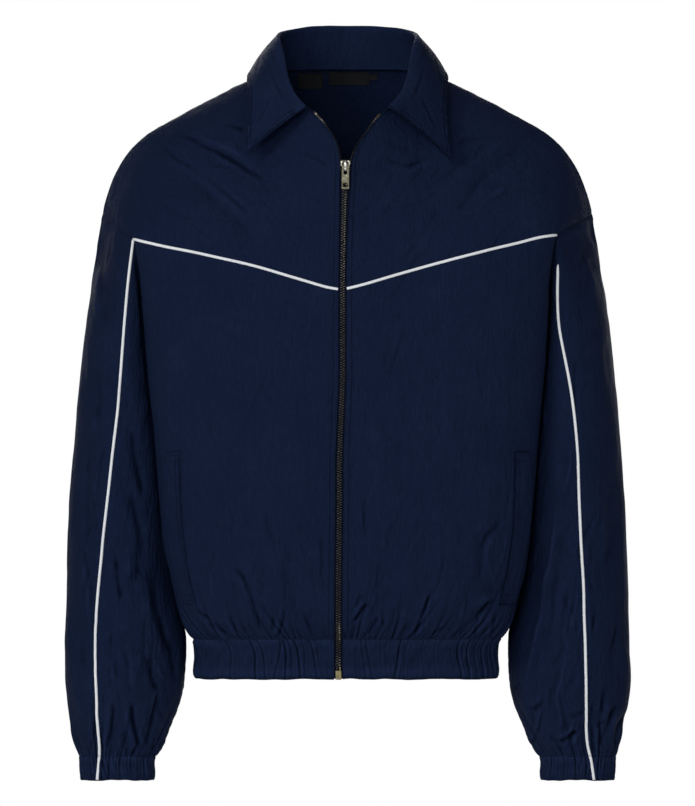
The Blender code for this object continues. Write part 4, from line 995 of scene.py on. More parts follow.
def node(tree, kind, inputs=(), **settings):
    """A shader node with its settings, and its inputs given as values or as sockets to link."""
    made = tree.nodes.new("ShaderNode" + kind)
    for key, value in settings.items():
        setattr(made, key, value)
    for key, value in dict(inputs).items():
        if isinstance(value, bpy.types.NodeSocket):
            tree.links.new(value, made.inputs[key])
        else:
            made.inputs[key].default_value = value
    return made


def blend(tree, factor, a, b):
    """Two colours mixed."""
    return node(tree, "Mix", {0: factor, 6: a, 7: b}, data_type="RGBA").outputs[2]


def spread(tree, value, low, high, to_low, to_high):
    """A value moved from one span to another."""
    return node(tree, "MapRange", {0: value, 1: low, 2: high, 3: to_low, 4: to_high}).outputs[0]


def noise(tree, vector, scale, detail=3.0, rough=0.5, twist=0.0):
    """Cloudy noise from 0 to 1."""
    made = node(tree, "TexNoise", {"Vector": vector, "Scale": scale, "Detail": detail, "Roughness": rough,
                                   "Distortion": twist})
    return made.outputs["Fac"]


def bump(tree, height, strength, distance, before=None):
    """Normals bent by a height, over those of an earlier bump."""
    inputs = {"Height": height, "Strength": strength, "Distance": distance}
    if before is not None:
        inputs["Normal"] = before
    return node(tree, "Bump", inputs).outputs["Normal"]


def blank(name):
    """A new material with its node tree and its shader."""
    made = bpy.data.materials.new(name)
    made.use_nodes = True
    tree = made.node_tree
    return made, tree, tree.nodes["Principled BSDF"]


def rgb(r, g, b):
    """An opaque colour."""
    return (r, g, b, 1.0)


def woven(name, dark, light, pitch, rough, sheen, sheen_tint, specular, crinkle_depth, painted_shading=0.35, grain=0.5,
          depth=0.00012, worn=None):
    """Cloth: a plain weave in its own lengths, crinkles in the piece's space, uneven colour and wear, with painted
    shade in its creases and painted highlight on their ridges.
    """
    made, tree, shader = blank(name)
    where = node(tree, "TexCoord").outputs["Object"]
    length = node(tree, "UVMap", uv_map="cloth").outputs["UV"]
    upright = node(tree, "Mapping", {"Vector": where, "Scale": (1.0, 1.0, 0.3)}).outputs["Vector"]
    warp, weft = (node(tree, "TexWave", {"Vector": length, "Scale": 0.314 / pitch, "Distortion": 0.6, "Detail": 1.0},
                       bands_direction=way).outputs["Fac"] for way in "XY")
    weave = node(tree, "Math", {0: warp, 1: weft}, operation="MULTIPLY").outputs[0]
    cloud = noise(tree, where, 16.0, 4.0, 0.6)
    fine = noise(tree, upright, 560.0, 2.0, 0.7, 0.4)
    small = noise(tree, upright, 240.0, 3.0, 0.65, 0.5)
    wide = noise(tree, upright, 70.0, 3.0, 0.55, 0.5)
    base = blend(tree, spread(tree, cloud, 0.3, 0.7, 0.0, 1.0), dark, light)
    base = blend(tree, spread(tree, fine, 0.3, 0.75, 0.0, grain), base, rgb(*(0.55 * c for c in dark[:3])))
    creased = node(tree, "Attribute", attribute_name="crease").outputs["Fac"]
    # painted shade: darker where the crease attribute falls below zero, in narrow creases, stitch grooves and along
    # edges
    base = blend(tree, spread(tree, creased, -0.9, -0.05, painted_shading, 0.0), base, rgb(*(0.12 * c for c in dark[:3])))
    # painted highlight: lighter where the crease attribute rises, on crease ridges and on the collar's stand
    base = blend(tree, spread(tree, creased, 0.12, 0.8, 0.0, 0.6 * painted_shading), base, rgb(*(1.8 * c for c in light[:3])))
    base = blend(tree, spread(tree, weave, 0.0, 1.0, 0.22, 0.0), base, rgb(*(0.35 * c for c in dark[:3])))
    if worn is not None:
        base = blend(tree, spread(tree, noise(tree, where, 34.0, 5.0, 0.7), 0.56, 0.8, 0.0, 0.5), base, worn)
    tree.links.new(base, shader.inputs["Base Color"])
    tree.links.new(spread(tree, small, 0.3, 0.7, rough - 0.07, rough + 0.07), shader.inputs["Roughness"])
    shader.inputs["Specular IOR Level"].default_value = specular
    shader.inputs["Specular Tint"].default_value = sheen_tint
    shader.inputs["Sheen Weight"].default_value = sheen
    shader.inputs["Sheen Roughness"].default_value = 0.45
    shader.inputs["Sheen Tint"].default_value = sheen_tint
    normal = bump(tree, wide, 0.6, 2.2 * crinkle_depth)
    normal = bump(tree, small, 0.8, 2.2 * crinkle_depth, normal)
    normal = bump(tree, fine, 0.8, 0.8 * crinkle_depth, normal)
    normal = bump(tree, weave, 0.3, depth, normal)
    tree.links.new(normal, shader.inputs["Normal"])
    return made


def metal(name, bright, dull, rough, scratch=0.35):
    """Plated metal with worn, darker patches and fine scratches."""
    made, tree, shader = blank(name)
    where = node(tree, "TexCoord").outputs["Object"]
    patch = noise(tree, where, 420.0, 4.0, 0.65)
    fine = noise(tree, where, 2600.0, 2.0, 0.7)
    base = blend(tree, spread(tree, patch, 0.35, 0.7, 0.0, 1.0), bright, dull)
    tree.links.new(base, shader.inputs["Base Color"])
    shader.inputs["Metallic"].default_value = 1.0
    tree.links.new(spread(tree, patch, 0.3, 0.7, rough - 0.08, rough + 0.12), shader.inputs["Roughness"])
    tree.links.new(bump(tree, fine, scratch, 0.00006), shader.inputs["Normal"])
    return made


def studio_floor():
    """Pale paper."""
    made, tree, shader = blank("studio_paper")
    where = node(tree, "TexCoord").outputs["Object"]
    grain = noise(tree, where, 3.0, 4.0)
    tree.links.new(blend(tree, grain, rgb(0.86, 0.86, 0.865), rgb(0.89, 0.89, 0.89)), shader.inputs["Base Color"])
    shader.inputs["Roughness"].default_value = 0.9
    return made


NAVY = woven("navy_nylon", rgb(0.0055, 0.0104, 0.0305), rgb(0.0069, 0.0124, 0.0345), 0.00042, 0.72, 0.006,
             rgb(0.30, 0.45, 1.0), 0.05, 0.0013, painted_shading=0.8, grain=0.5, worn=rgb(0.0088, 0.0145, 0.038))
THREAD = woven("navy_thread", rgb(0.0022, 0.0036, 0.0105), rgb(0.0032, 0.0052, 0.0145), 0.0005, 0.8, 0.02,
               rgb(0.4, 0.45, 0.6), 0.06, 0.0002, painted_shading=0.0)
WHITE = woven("white_piping_cloth", rgb(0.64, 0.66, 0.69), rgb(0.72, 0.74, 0.76), 0.0007, 0.75, 0.05,
              rgb(1, 1, 1), 0.2, 0.0003, painted_shading=0.15, grain=0.12, worn=rgb(0.55, 0.57, 0.61))
TAPE_CLOTH = woven("dark_tape_cloth", rgb(0.0036, 0.0056, 0.0140), rgb(0.0052, 0.0078, 0.0185), 0.0009, 0.85, 0.02,
                   rgb(0.5, 0.5, 0.6), 0.06, 0.0003, painted_shading=0.1, depth=0.00028)
LABEL_CLOTH = woven("black_label_cloth", rgb(0.0085, 0.0088, 0.0100), rgb(0.0135, 0.0140, 0.0155), 0.0006, 0.7, 0.05,
                    rgb(0.6, 0.6, 0.65), 0.15, 0.0003, painted_shading=0.1, depth=0.0002)
SILVER = metal("nickel_slider", rgb(0.62, 0.61, 0.57), rgb(0.36, 0.35, 0.31), 0.26)
GUNMETAL = metal("gunmetal_slider", rgb(0.075, 0.072, 0.050), rgb(0.035, 0.034, 0.025), 0.36)
ANTIQUE = metal("antique_tab", rgb(0.150, 0.142, 0.105), rgb(0.070, 0.066, 0.048), 0.38)
TEETH = metal("antique_teeth", rgb(0.15, 0.141, 0.114), rgb(0.03, 0.028, 0.022), 0.32, 0.5)
BRASS = metal("dull_brass", rgb(0.22, 0.19, 0.105), rgb(0.10, 0.085, 0.045), 0.42)


# ---- panels
made = {}
for name, panel in panels.items():
    inner = lining(panel["outer"], panel["n"], SHEET, 3)
    made[name] = shell(name + "_cloth", panel["outer"], inner, NAVY, shape=panel["shape"], step=3)
    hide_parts(name)


# ---- hem band and cuffs

def hem_line(drop, cols):
    """The band's level line from the wearer's right zip edge round the back to the left, and places on it."""
    halves = []
    for side in (-1, 1):
        x, y, _ = half_section(drop)
        keep = x > zip_edge(drop, side) + 0.5
        x, y = np.r_[zip_edge(drop, side), x[keep]], np.r_[y[0], y[keep]]
        xb, yb, _ = half_section(drop, back=True)
        halves.append(np.c_[np.r_[x, xb[::-1][1:]] * side, np.r_[y, yb[::-1][1:]]])
    line = np.r_[halves[0], halves[1][::-1][1:]]
    arc = arc_of(line)
    at = np.linspace(0, arc[-1], cols + 1)
    p = spline(np.c_[arc, line], at)
    t = unit(np.gradient(p, axis=0))
    n = np.c_[t[:, 1], -t[:, 0]]
    n *= np.sign(np.sum(n * p, axis=1))[:, None]
    flat = smoothstep((at - 4) / 12) * smoothstep((arc[-1] - at - 4) / 12)
    s = -(zip_edge(drop, -1) + at) * HEM_GIRTH / (2 * half_girth(drop))
    return p, n, flat, s


def cuff_line(drop, cols):
    """The cuff's level line, round from under the arm by the front, and places on it."""
    far, near, mid, deep = spline(SLEEVE, drop)[:4]
    cx, a = (far + near) / 2, (far - near) / 2
    turn = np.linspace(0, 2 * math.pi, cols + 1)[:-1]
    p = np.stack([cx - a * np.cos(turn), mid - deep * np.sin(turn)], axis=1)
    n = unit(np.stack([-np.cos(turn) * deep, -np.sin(turn) * a], axis=1))
    step = np.linalg.norm(np.roll(p, -1, axis=0) - p, axis=1)
    arc = np.r_[0, np.cumsum(step)]
    return p, n, np.ones(cols), (arc[:-1] / arc[-1] - 0.5) * CUFF_GIRTH


# pleats of the hem band's front: own x at the seam and at the foot, bend, depth, half width, share lost at the foot
FRONT_PLEATS = (
    (-154, -155, 0.0, -0.9, 1.0, 0.3), (-143.5, -141, 0.5, -0.6, 1.0, 0.5), (-131.8, -128.5, 0.5, -0.9, 1.1, 0.3),
    (-122, -119, 0.0, -0.5, 0.9, 0.6), (-106.4, -101.1, 0.6, -1.7, 1.3, 0.1), (-98.3, -89.6, 0.8, -1.2, 1.1, 0.2),
    (-86, -84, 0.0, -0.6, 0.9, 0.7), (-72.9, -81, -0.8, -1.1, 1.1, 0.2), (-69.8, -68.5, 0.4, -1.6, 1.2, 0.1),
    (-64.8, -60.5, 0.5, -1.0, 1.0, 0.3), (-58.3, -51.8, 0.8, -1.7, 1.2, 0.1), (-50, -46, 0.3, -0.8, 1.0, 0.5),
    (-42, -33, 0.8, -1.1, 1.1, 0.2), (-35, -31, 0.3, -0.7, 0.9, 0.5), (-23, -21, 0.3, -0.6, 0.9, 0.5),
    (7.5, 10, 0.3, -0.6, 0.9, 0.5), (14.5, 20, 0.4, -0.9, 1.0, 0.3), (19, 27.5, 0.6, -1.0, 1.0, 0.3),
    (35.6, 38, 0.2, -0.6, 0.9, 0.6), (42.1, 43, 0.4, -0.7, 1.0, 0.5), (58, 50, 3.2, -1.6, 1.3, 0.1),
    (66, 61, 0.6, -0.7, 0.9, 0.5), (82, 84, 0.4, -0.6, 0.9, 0.6), (96.1, 97, 0.3, -0.7, 1.0, 0.5),
    (110, 112, 0.4, -0.5, 0.9, 0.6), (121, 125.3, 0.5, -1.6, 1.2, 0.1), (132.6, 134, 0.3, -1.7, 1.2, 0.1),
    (141.2, 142.5, 0.3, -1.1, 1.1, 0.2), (148.6, 150, 0.3, -1.6, 1.2, 0.1), (155.5, 156, 0.0, -1.1, 1.0, 0.2),
)


def round_hem(x):
    """Place round the hem of an own x of its front."""
    xs, _, arcs = half_section(HEM_SEAM)
    return math.copysign(np.interp(abs(x), xs[:ROUND_POINTS], arcs[:ROUND_POINTS]), x)


def pleat_rows(table, tall, skip=0.0):
    """Folds of a band that continue the gathers, beyond a place on either side of its middle."""
    rng = np.random.default_rng(31)
    rows = []
    for at, depth, width, _, _ in table:
        lean, bend, fade = rng.normal(0, 0.12), rng.normal(0, 1.2), rng.uniform(0, 0.7)
        if abs(at) > skip:
            rows.append((at, at + lean * tall, bend, 0.7 * depth, 0.7 * width, fade))
    return rows


def pleats(s, down, tall, girth, rows):
    """Folds down a gathered band; a pleat may lean, bend and fade toward the lower edge."""
    height = np.zeros(s.shape)
    f = down / tall
    for top, foot, bend, depth, width, fade in rows:
        middle = top + (foot - top) * f + 0.5 * bend * math.sin(math.pi * f)
        off = (s - middle + girth / 2) % girth - girth / 2
        height += 1.25 * depth * fold_form(off, width * (0.8 + 0.3 * f)) * (1 - fade * f)
    return height


def band(name, line, top, end, rows, cols, folds, girth, roll, side=1, closed=False):
    """A doubled elastic band with a rounded lower edge, its upper edge tucked under the seam."""
    tall = end - top
    edge = 1.1
    drops = np.r_[np.linspace(top - 1.6, end - edge, rows - 4), [end - 0.55 * edge, end - 0.18 * edge, end]]
    turn_in = np.r_[np.zeros(rows - 4), [0.18, 0.5, 1.0]] * edge
    outer, inner, heights = [], [], []
    for k, drop in enumerate(drops):
        p, n, flat, s = line(drop, cols)
        down = min(tall, max(0.0, drop - top))
        h = pleats(s, down, tall, girth, folds) * flat
        q = np.c_[p, np.full(len(p), -drop)]
        h += 0.35 * ripple(q, 10, 21, (1, 1, 0.4)) + 0.25 * ripple(q, 24, 22, (1, 1, 0.5))
        tuck = 2.1 * (1 - smoothstep((drop - top + 1.6) / 3.4))
        grip = 0.5 * math.exp(-((drop - top - 5.5) / 1.2) ** 2) + 0.5 * math.exp(-((end - drop - 6.5) / 1.2) ** 2)
        foot = min(1.0, max(0.0, (drop - end + 9) / 9))
        h += 0.7 * math.sin(math.pi * down / tall) - tuck - 0.5 * grip - roll * foot ** 2.2
        level = q * (1, 1, 0)
        q[:, 2] -= down / tall * (0.7 * ripple(level, 60, 23, (1, 1, 1)) + 0.35 * ripple(level, 17, 24, (1, 1, 1)))
        if not closed:
            q[:, 0] -= 3.4 * smoothstep((-q[:, 0] - 118) / 36) * smoothstep(down / 4)
        normal = np.c_[n, np.zeros(len(n))]
        m = np.array((side, 1, 1))
        outer.append((q + normal * (h - turn_in[k])[:, None]) * m)
        depth = max(0.3, BAND - turn_in[k])
        inner.append((q + normal * (h - turn_in[k] - depth)[:, None]) * m)
        heights.append(h)
    # painted shade in the narrow pleats and painted highlight on their ridges, by the cloth's colour
    shape = cavity(np.array(heights))
    ob = shell(name + "_cloth", np.array(outer), np.array(inner), NAVY, shape, closed, 2)
    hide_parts(name)
    return ob


HEM_PLEATS = pleat_rows(HEM_GATHERS, HEM_END - HEM_SEAM, round_hem(157))
HEM_PLEATS += [(round_hem(a), round_hem(b), *rest) for a, b, *rest in FRONT_PLEATS]
CUFF_PLEATS = pleat_rows(CUFF_GATHERS, CUFF_END - CUFF_SEAM)
made["hem_band"] = band("hem_band", hem_line, HEM_SEAM, HEM_END, 20, 1500, HEM_PLEATS, HEM_GIRTH, 2.6)
for side, who in SIDES:
    name = "cuff_" + who
    made[name] = band(name, cuff_line, CUFF_SEAM, CUFF_END, 15, 440, CUFF_PLEATS, CUFF_GIRTH, 1.0, side, closed=True)


# ---- collar

def collar_side(side):
    """Seen and hidden faces of half the collar, rows from the neck seam over the fold to the leaf's edge."""
    neck = along(NECKLINE, COLLAR_COLS)
    fold = along(FOLD, COLLAR_COLS)
    fold[:, 2] -= 2.6 * smoothstep((fold[:, 2] - 45) / 18)
    edge_points = [list(p) for p in LEAF_EDGE]
    if side > 0:
        edge_points[0] = (112, -110, -82)
    edge = along(edge_points, COLLAR_COLS)
    t = np.gradient(fold, axis=0) * (1, 1, 0)
    t[-1] = (-1, 0, 0)
    o = unit(np.cross(t, (0, 0, 1.0)))
    o *= np.sign(np.sum(o * (fold * (1, 1, 0) - (0, -20, 0)), axis=1))[:, None]
    lay = unit(np.cross(np.gradient(fold + edge, axis=0), edge - fold))
    lay *= np.sign(np.sum(lay * (o + UP), axis=1))[:, None]
    base = neck + UP * 0.9 + o * np.interp(np.arange(len(neck)), (0, 3), (-0.6, 0))[:, None]
    fi, fo = fold - o * 0.8 - UP * 3.6, fold + o * 0.8 - UP * 3.6
    hidden = [base, base * 0.66 + fi * 0.34, base * 0.33 + fi * 0.67, fi, fold - UP * 2.3, fo]
    seen = [base - o * 1.7 - UP * 2.4] + [row - o * COLLAR_CLOTH for row in hidden[1:3]]
    seen += [fold - o * FOLD_RADIUS - UP * 3, fold, fold + o * FOLD_RADIUS - UP * 3]
    for s in (0.3, 0.55, 0.8, 1.0):
        row = fo * (1 - s) + edge * s + lay * (10 * s * (1 - s))
        hidden.append(row)
        seen.append(row + lay * COLLAR_CLOTH)
    return np.array(seen), np.array(hidden)


def outer_tree(names):
    """The panels' outer faces, for finding the nearest place on them."""
    verts, faces = [], []
    for name in names:
        g = panels[name]["outer"][::2, ::2]
        n = panels[name]["n"]
        turned = np.sum(n[0, 0] * np.cross(g[1, 1] - g[0, 0], g[0, 1] - g[1, 0])) > 0
        order = (0, 3, 2, 1) if turned else (1, 2, 3, 0)
        faces += (grid_quads(*g.shape[:2], False)[:, order] + len(verts)).tolist()
        verts += g.reshape(-1, 3).tolist()
    return BVHTree.FromPolygons(verts, faces)


def keep_off(seen, hidden, first, tree, space, rounds=6):
    """Eases both faces of a sheet out where its hidden face is nearer to the cloth below than a space."""
    for _ in range(rounds):
        push = np.zeros_like(hidden)
        for r in range(first, hidden.shape[0]):
            for c in range(hidden.shape[1]):
                q, n, _, _ = tree.find_nearest(Vector(hidden[r, c]))
                away = (Vector(hidden[r, c]) - q).dot(n)
                beside = (Vector(hidden[r, c]) - q - n * away).length
                if away < space and beside < 0.6 + 0.2 * abs(away):
                    push[r, c] = np.array(n) * (space - away)
        wide = np.pad(push, ((2, 2), (3, 3), (0, 0)), mode="edge")
        soft = sum(wide[2 + i:2 + i + push.shape[0], 3 + j:3 + j + push.shape[1]]
                   for i in (-2, 0, 2) for j in (-3, 0, 3)) / 9
        push = 0.6 * push + 0.6 * soft
        hidden += push
        seen += push


# wrinkles of the collar's leaf: side, share from the front edge, share from the fold down, at both ends, height, width
COLLAR_FOLDS = (
    (-1, 0.16, 0.30, 0.08, 0.72, -0.9, 2.6), (-1, 0.10, 0.12, 0.26, 0.22, -0.8, 2.4),
    (-1, 0.30, 0.10, 0.50, 0.16, -0.7, 2.6), (-1, 0.45, 0.35, 0.30, 0.70, -0.6, 3.4),
    (-1, 0.60, 0.20, 0.62, 0.75, -0.7, 3.6), (1, 0.14, 0.28, 0.07, 0.66, -0.8, 2.8),
    (1, 0.10, 0.12, 0.28, 0.20, -0.8, 2.4), (1, 0.34, 0.12, 0.52, 0.20, -0.7, 2.6),
    (1, 0.42, 0.40, 0.28, 0.78, -0.6, 3.2), (1, 0.62, 0.22, 0.60, 0.80, -0.7, 3.6),
)

sides = [collar_side(-1), collar_side(1)]
m = np.array((-1, 1, 1))
seen = np.concatenate([sides[0][0] * m, sides[1][0][:, ::-1][:, 1:]], axis=1)
hidden = np.concatenate([sides[0][1] * m, sides[1][1][:, ::-1][:, 1:]], axis=1)
COLLAR_FINE = (76, 220)
seen, hidden = finer(seen, *COLLAR_FINE), finer(hidden, *COLLAR_FINE)
LEAF_ROW = 43                       # first row of the leaf below the fold
LEAF_LONG, LEAF_TALL = 330, 78      # half of the leaf's length, and its width
SEWN_IN = (2.2, 6.0)                # the two rows of stitches, from the leaf's edge
tree = outer_tree(("yoke_right", "yoke_left", "front_right", "front_left", "back"))
keep_off(seen, hidden, LEAF_ROW + 8, tree, 1.6)

d = edge_distances(seen)
collar_up = unit(seen - hidden)
leaf = smoothstep((np.arange(seen.shape[0])[:, None] - LEAF_ROW + 4) / 8) * np.ones(seen.shape[:2])
height = 0.5 * crinkle(seen)
edge_near = np.minimum(np.minimum(d["R"], d["c"] + 40 * (1 - leaf)), d["C"] + 40 * (1 - leaf))
rows_sewn = sum(np.exp(-((edge_near - at) / 0.7) ** 2) * leaf for at in SEWN_IN)
height -= 0.5 * rows_sewn
height += 0.45 * ripple(seen, 7, 31, (1, 1, 1)) * np.exp(-(edge_near / 7) ** 2) * leaf
height -= 0.8 * np.exp(-(edge_near / 0.7) ** 2)
share_c = np.linspace(0, 2, seen.shape[1])[None, :] * np.ones((seen.shape[0], 1))
share_r = ((np.arange(seen.shape[0]) - LEAF_ROW) / (seen.shape[0] - 1 - LEAF_ROW))[:, None] * np.ones(seen.shape[1])
shape = np.zeros(seen.shape[:2])
for side, c0, r0, c1, r1, amount, width in COLLAR_FOLDS:
    cc = share_c if side < 0 else 2 - share_c
    run = np.array(((c1 - c0) * LEAF_LONG, (r1 - r0) * LEAF_TALL))
    f, du, dv = to_line(cc * LEAF_LONG, share_r * LEAF_TALL, (c0 * LEAF_LONG, r0 * LEAF_TALL), run)
    shape += amount * np.exp(-(np.hypot(du, dv) / width) ** 2) * smoothstep(1.6 * (1 - np.abs(2 * f - 1)) + 0.2)
height += shape
# the light leaves the wearer's left leaf darker than the right one, and the stand inside is bright
painted_shading = leaf * (0.25 - 0.6 * smoothstep((share_c - 0.95) / 0.1)) + 0.45 * (1 - leaf)
seen = seen + collar_up * height[..., None]
hidden = hidden + collar_up * (0.8 * shape)[..., None]
shade = cavity(height, 2) - 0.55 * rows_sewn + painted_shading
made["collar"] = shell("collar_cloth", seen, hidden, NAVY, shape=shade)
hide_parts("collar")


# ---- piping

def cord(name, path, up, node_name):
    """White piping along a seam."""
    ob = strip(name, path, up, 3.1, 1.9, WHITE, "piping_cloth", sink=0.5, sides=11)
    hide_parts(node_name)
    return ob


def trimmed(path, up, start, end, count):
    """The part of a path between two distances from its ends, at even steps."""
    arc = arc_of(path)
    at = np.linspace(start, arc[-1] - end, count)
    return spline(np.c_[arc, path], at), unit(spline(np.c_[arc, up], at))


for side, who in SIDES:
    panel = panels["front_" + who]
    seam = panel["base"][-1] + panel["n"][-1] * panel["shape"][-1][:, None]
    path, up = trimmed(seam, panel["n"][-1], 0.4, 0.8 if side < 0 else 1.8, 150)
    made["piping_yoke_" + who] = cord("yoke_piping_" + who, path, up, "piping_yoke_" + who)
    panel = panels[f"sleeve_{who}_back"]
    seam = panel["base"][:, 0] + panel["n"][:, 0] * panel["shape"][:, 0][:, None]
    path, up = trimmed(seam, panel["n"][:, 0], 0.6 if side < 0 else 12, 0.6, 260)
    if side > 0:    # sunk in the fold behind the armhole for its first centimetres
        path = path - up * (2.6 * (1 - smoothstep((-path[:, 2] - YOKE_SIDE - 14) / 44)))[:, None]
    made["piping_sleeve_" + who] = cord("sleeve_piping_" + who, path, up, "piping_sleeve_" + who)
    path, up = [], []
    for drop in np.linspace(CUFF_SEAM - 0.5, CUFF_END - 0.5, 12):
        far, near, mid, deep, *stripe = spline(SLEEVE, drop)
        cx, a = (far + near) / 2, (far - near) / 2
        t = math.acos((cx - stripe[side_index(side)]) / a)
        n = unit(np.array([-math.cos(t) * deep, -math.sin(t) * a, 0.0]))
        lift = 0.9 * smoothstep((drop - CUFF_SEAM) / 3) - 1.0 * (drop < CUFF_SEAM + 1)
        path.append(np.array([cx - a * math.cos(t), mid - deep * math.sin(t), -drop]) + n * lift)
        up.append(n)
    m = np.array((side, 1, 1))
    made["piping_cuff_" + who] = cord("cuff_piping_" + who, np.array(path) * m, np.array(up) * m, "piping_cuff_" + who)


# ---- zip: tapes, teeth, slider, pull tab, end box

def edge_column(who, key, col):
    """A column of a front's grid and then of its yoke's, from the lower end up."""
    return np.r_[panels["front_" + who][key][:, col], panels["yoke_" + who][key][1:, col]]


zip_paths = {}
for side, who in SIDES:
    base, n = edge_column(who, "base", 0), edge_column(who, "n", 0)
    into = unit(edge_column(who, "base", 4) - base)
    foot = [on_section(drop, zip_edge(drop, side)) * (side, 1, 1) for drop in (HEM_END - 0.8, 628, 620, 612, 604, 598)]
    base, into, n = np.r_[foot, base[4:]], np.r_[[(side, 0, 0)] * 6, into[4:]], np.r_[[(0, -1, 0)] * 6, n[4:]]
    arc = arc_of(base)
    at = np.linspace(0, arc[-1] - 5, 260)
    base, into, n = spline(np.c_[arc, base], at), unit(spline(np.c_[arc, into], at)), unit(spline(np.c_[arc, n], at))
    depth = 1.9
    drop = -base[:, 2]
    shut = smoothstep((drop - ZIP_SHUT + 3) / 8)[:, None]
    middle = base - n * depth
    middle[:, 0] = spline(ZIP_MIDDLE, drop)[:, 0]
    free = base - into * (4.6 if side > 0 else 2.0) - n * depth
    rim = middle * shut + free * (1 - shut)
    rim[:, 0] = np.where(shut[:, 0] > 0.98, middle[:, 0], rim[:, 0])
    under = base + into * 6.5 - n * depth
    rows = [under * (1 - f) + rim * f for f in np.linspace(0, 1, 9)]
    rows[-1] = rows[-1] + (under - rim) / np.linalg.norm(under - rim, axis=1, keepdims=True) * 0.12
    outer = np.stack(rows, axis=1)
    outer = outer + n[:, None] * (0.12 * ripple(outer, 14, 41, (1, 1, 1)))[..., None]
    inner = outer - n[:, None] * 0.6
    made["zip_tape_" + who] = shell("zip_tape_cloth_" + who, outer, inner, TAPE_CLOTH)
    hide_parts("zip_tape_" + who)
    zip_paths[side] = (rim, n, unit(under - rim))


def rounded_block(size, bevel):
    """A box with its edges cut, as points and faces; size is (across, up, out)."""
    w, h, t = (s / 2 for s in size)
    verts, faces = [], []
    for z in (-h, h):
        for y in (-t, t):
            for x in (-w, w):
                verts += [(x - math.copysign(bevel, x), y - math.copysign(bevel, y), z),
                          (x - math.copysign(bevel, x), y, z - math.copysign(bevel, z)),
                          (x, y - math.copysign(bevel, y), z - math.copysign(bevel, z))]
    mesh = bpy.data.meshes.new("hull")
    bm = bmesh.new()
    for v in verts:
        bm.verts.new(v)
    bmesh.ops.convex_hull(bm, input=bm.verts)
    bm.to_mesh(mesh)
    bm.free()
    points = np.array([v.co[:] for v in mesh.vertices])
    faces = [list(f.vertices) for f in mesh.polygons]
    bpy.data.meshes.remove(mesh)
    return points, faces


def joined(pieces):
    """Several forms as one, in points and faces."""
    verts, faces, base = [], [], 0
    for points, form in pieces:
        verts.append(np.asarray(points, float))
        faces += [[base + i for i in f] for f in form]
        base += len(points)
    return np.concatenate(verts), faces


def set_at(form, origin, across, up, out):
    """A form turned to three directions and moved to a place."""
    points, faces = form
    return origin + points[:, :1] * across + points[:, 2:] * up + points[:, 1:2] * out, faces


TOOTH = rounded_block((2.1, 0.85, 1.3), 0.2)
TOOTH_HEAD = rounded_block((0.9, 0.7, 1.2), 0.2)
for side, who in SIDES:
    rim, n, away = zip_paths[side]
    arc = arc_of(rim)
    blocks = []
    s = 11.0 + (0 if side < 0 else TOOTH_PITCH / 2)
    while s < arc[-1] - 7:
        at, out, to = at_places(s, arc, rim, n, away)
        up = unit(at_places(s + 1, arc, rim)[0] - at)
        to, out = unit(to), unit(out)
        to, out = unit(to + 0.4 * out), unit(out - 0.4 * to)
        blocks.append(set_at(TOOTH, at + to * 1.7 + out * 0.35, to, up, out))
        blocks.append(set_at(TOOTH_HEAD, at + to * 0.4 - out * 0.2, to, up, out))
        s += TOOTH_PITCH
    at, = at_places(arc[-1] - 4.5, arc, rim)
    blocks.append(set_at(rounded_block((3.6, 3.2, 2.4), 0.5), at + away[-1] * 1.0 + n[-1] * 0.3, away[-1],
                         unit(rim[-1] - rim[-6]), n[-1]))
    verts, faces = joined(blocks)
    made["zip_teeth_" + who] = make("zip_teeth_" + who, verts, faces, TEETH)
    for poly in made["zip_teeth_" + who].data.polygons:
        poly.use_smooth = False


def plate(name, outlines, thick, bevel):
    """A flat plate of (x, z) outlines, the first outside and the others holes, with rounded edges, facing -Y."""
    curve = bpy.data.curves.new(name, "CURVE")
    curve.dimensions = "2D"
    curve.fill_mode = "BOTH"
    for line in outlines:
        path = curve.splines.new("POLY")
        path.points.add(len(line) - 1)
        for point, (x, z) in zip(path.points, line):
            point.co = (x, z, 0, 1)
        path.use_cyclic_u = True
    curve.extrude = thick / 2 - bevel
    curve.bevel_depth = bevel
    curve.bevel_resolution = 2
    curve.offset = -bevel
    helper = bpy.data.objects.new(name, curve)
    bpy.context.scene.collection.objects.link(helper)
    bpy.context.view_layer.update()
    mesh = bpy.data.meshes.new_from_object(helper.evaluated_get(bpy.context.evaluated_depsgraph_get()))
    points = np.array([v.co[:] for v in mesh.vertices])
    faces = [list(f.vertices) for f in mesh.polygons]
    bpy.data.objects.remove(helper)
    bpy.data.curves.remove(curve)
    bpy.data.meshes.remove(mesh)
    return np.stack([points[:, 0], -points[:, 2], points[:, 1]], axis=1), faces


def rounded(x0, x1, z0, z1, radius, taper=0.0, steps=6):
    """Outline of a rectangle with round corners, its lower end narrower by the taper on each side."""
    line = []
    for cx, cz, start in ((x1 - radius, z1 - radius, 0), (x0 + radius, z1 - radius, 90),
                          (x0 + radius, z0 + radius, 180), (x1 - radius, z0 + radius, 270)):
        for k in range(steps + 1):
            a = math.radians(start + 90 * k / steps)
            x, z = cx + radius * math.cos(a), cz + radius * math.sin(a)
            f = (z1 - z) / (z1 - z0)
            line.append((x - math.copysign(taper, x - (x0 + x1) / 2) * f, z))
    return line


def rod_points(path, across, other, radius, squash, sides):
    """Points of the rings round a path."""
    turn = np.arange(sides) * 2 * math.pi / sides
    return (path[:, None] + across[:, None] * (radius * np.cos(turn))[None, :, None]
            + other[:, None] * (squash * radius * np.sin(turn))[None, :, None]).reshape(-1, 3)


def bar(path, radius, squash=1.0, sides=12):
    """A round rod along a path, as points and faces."""
    run = unit(np.gradient(path, axis=0))
    across = unit(np.cross(run, (1.0, 0.0, 0.02)))
    return rod_points(path, across, np.cross(run, across), radius, squash, sides), tube_faces(len(path), sides)


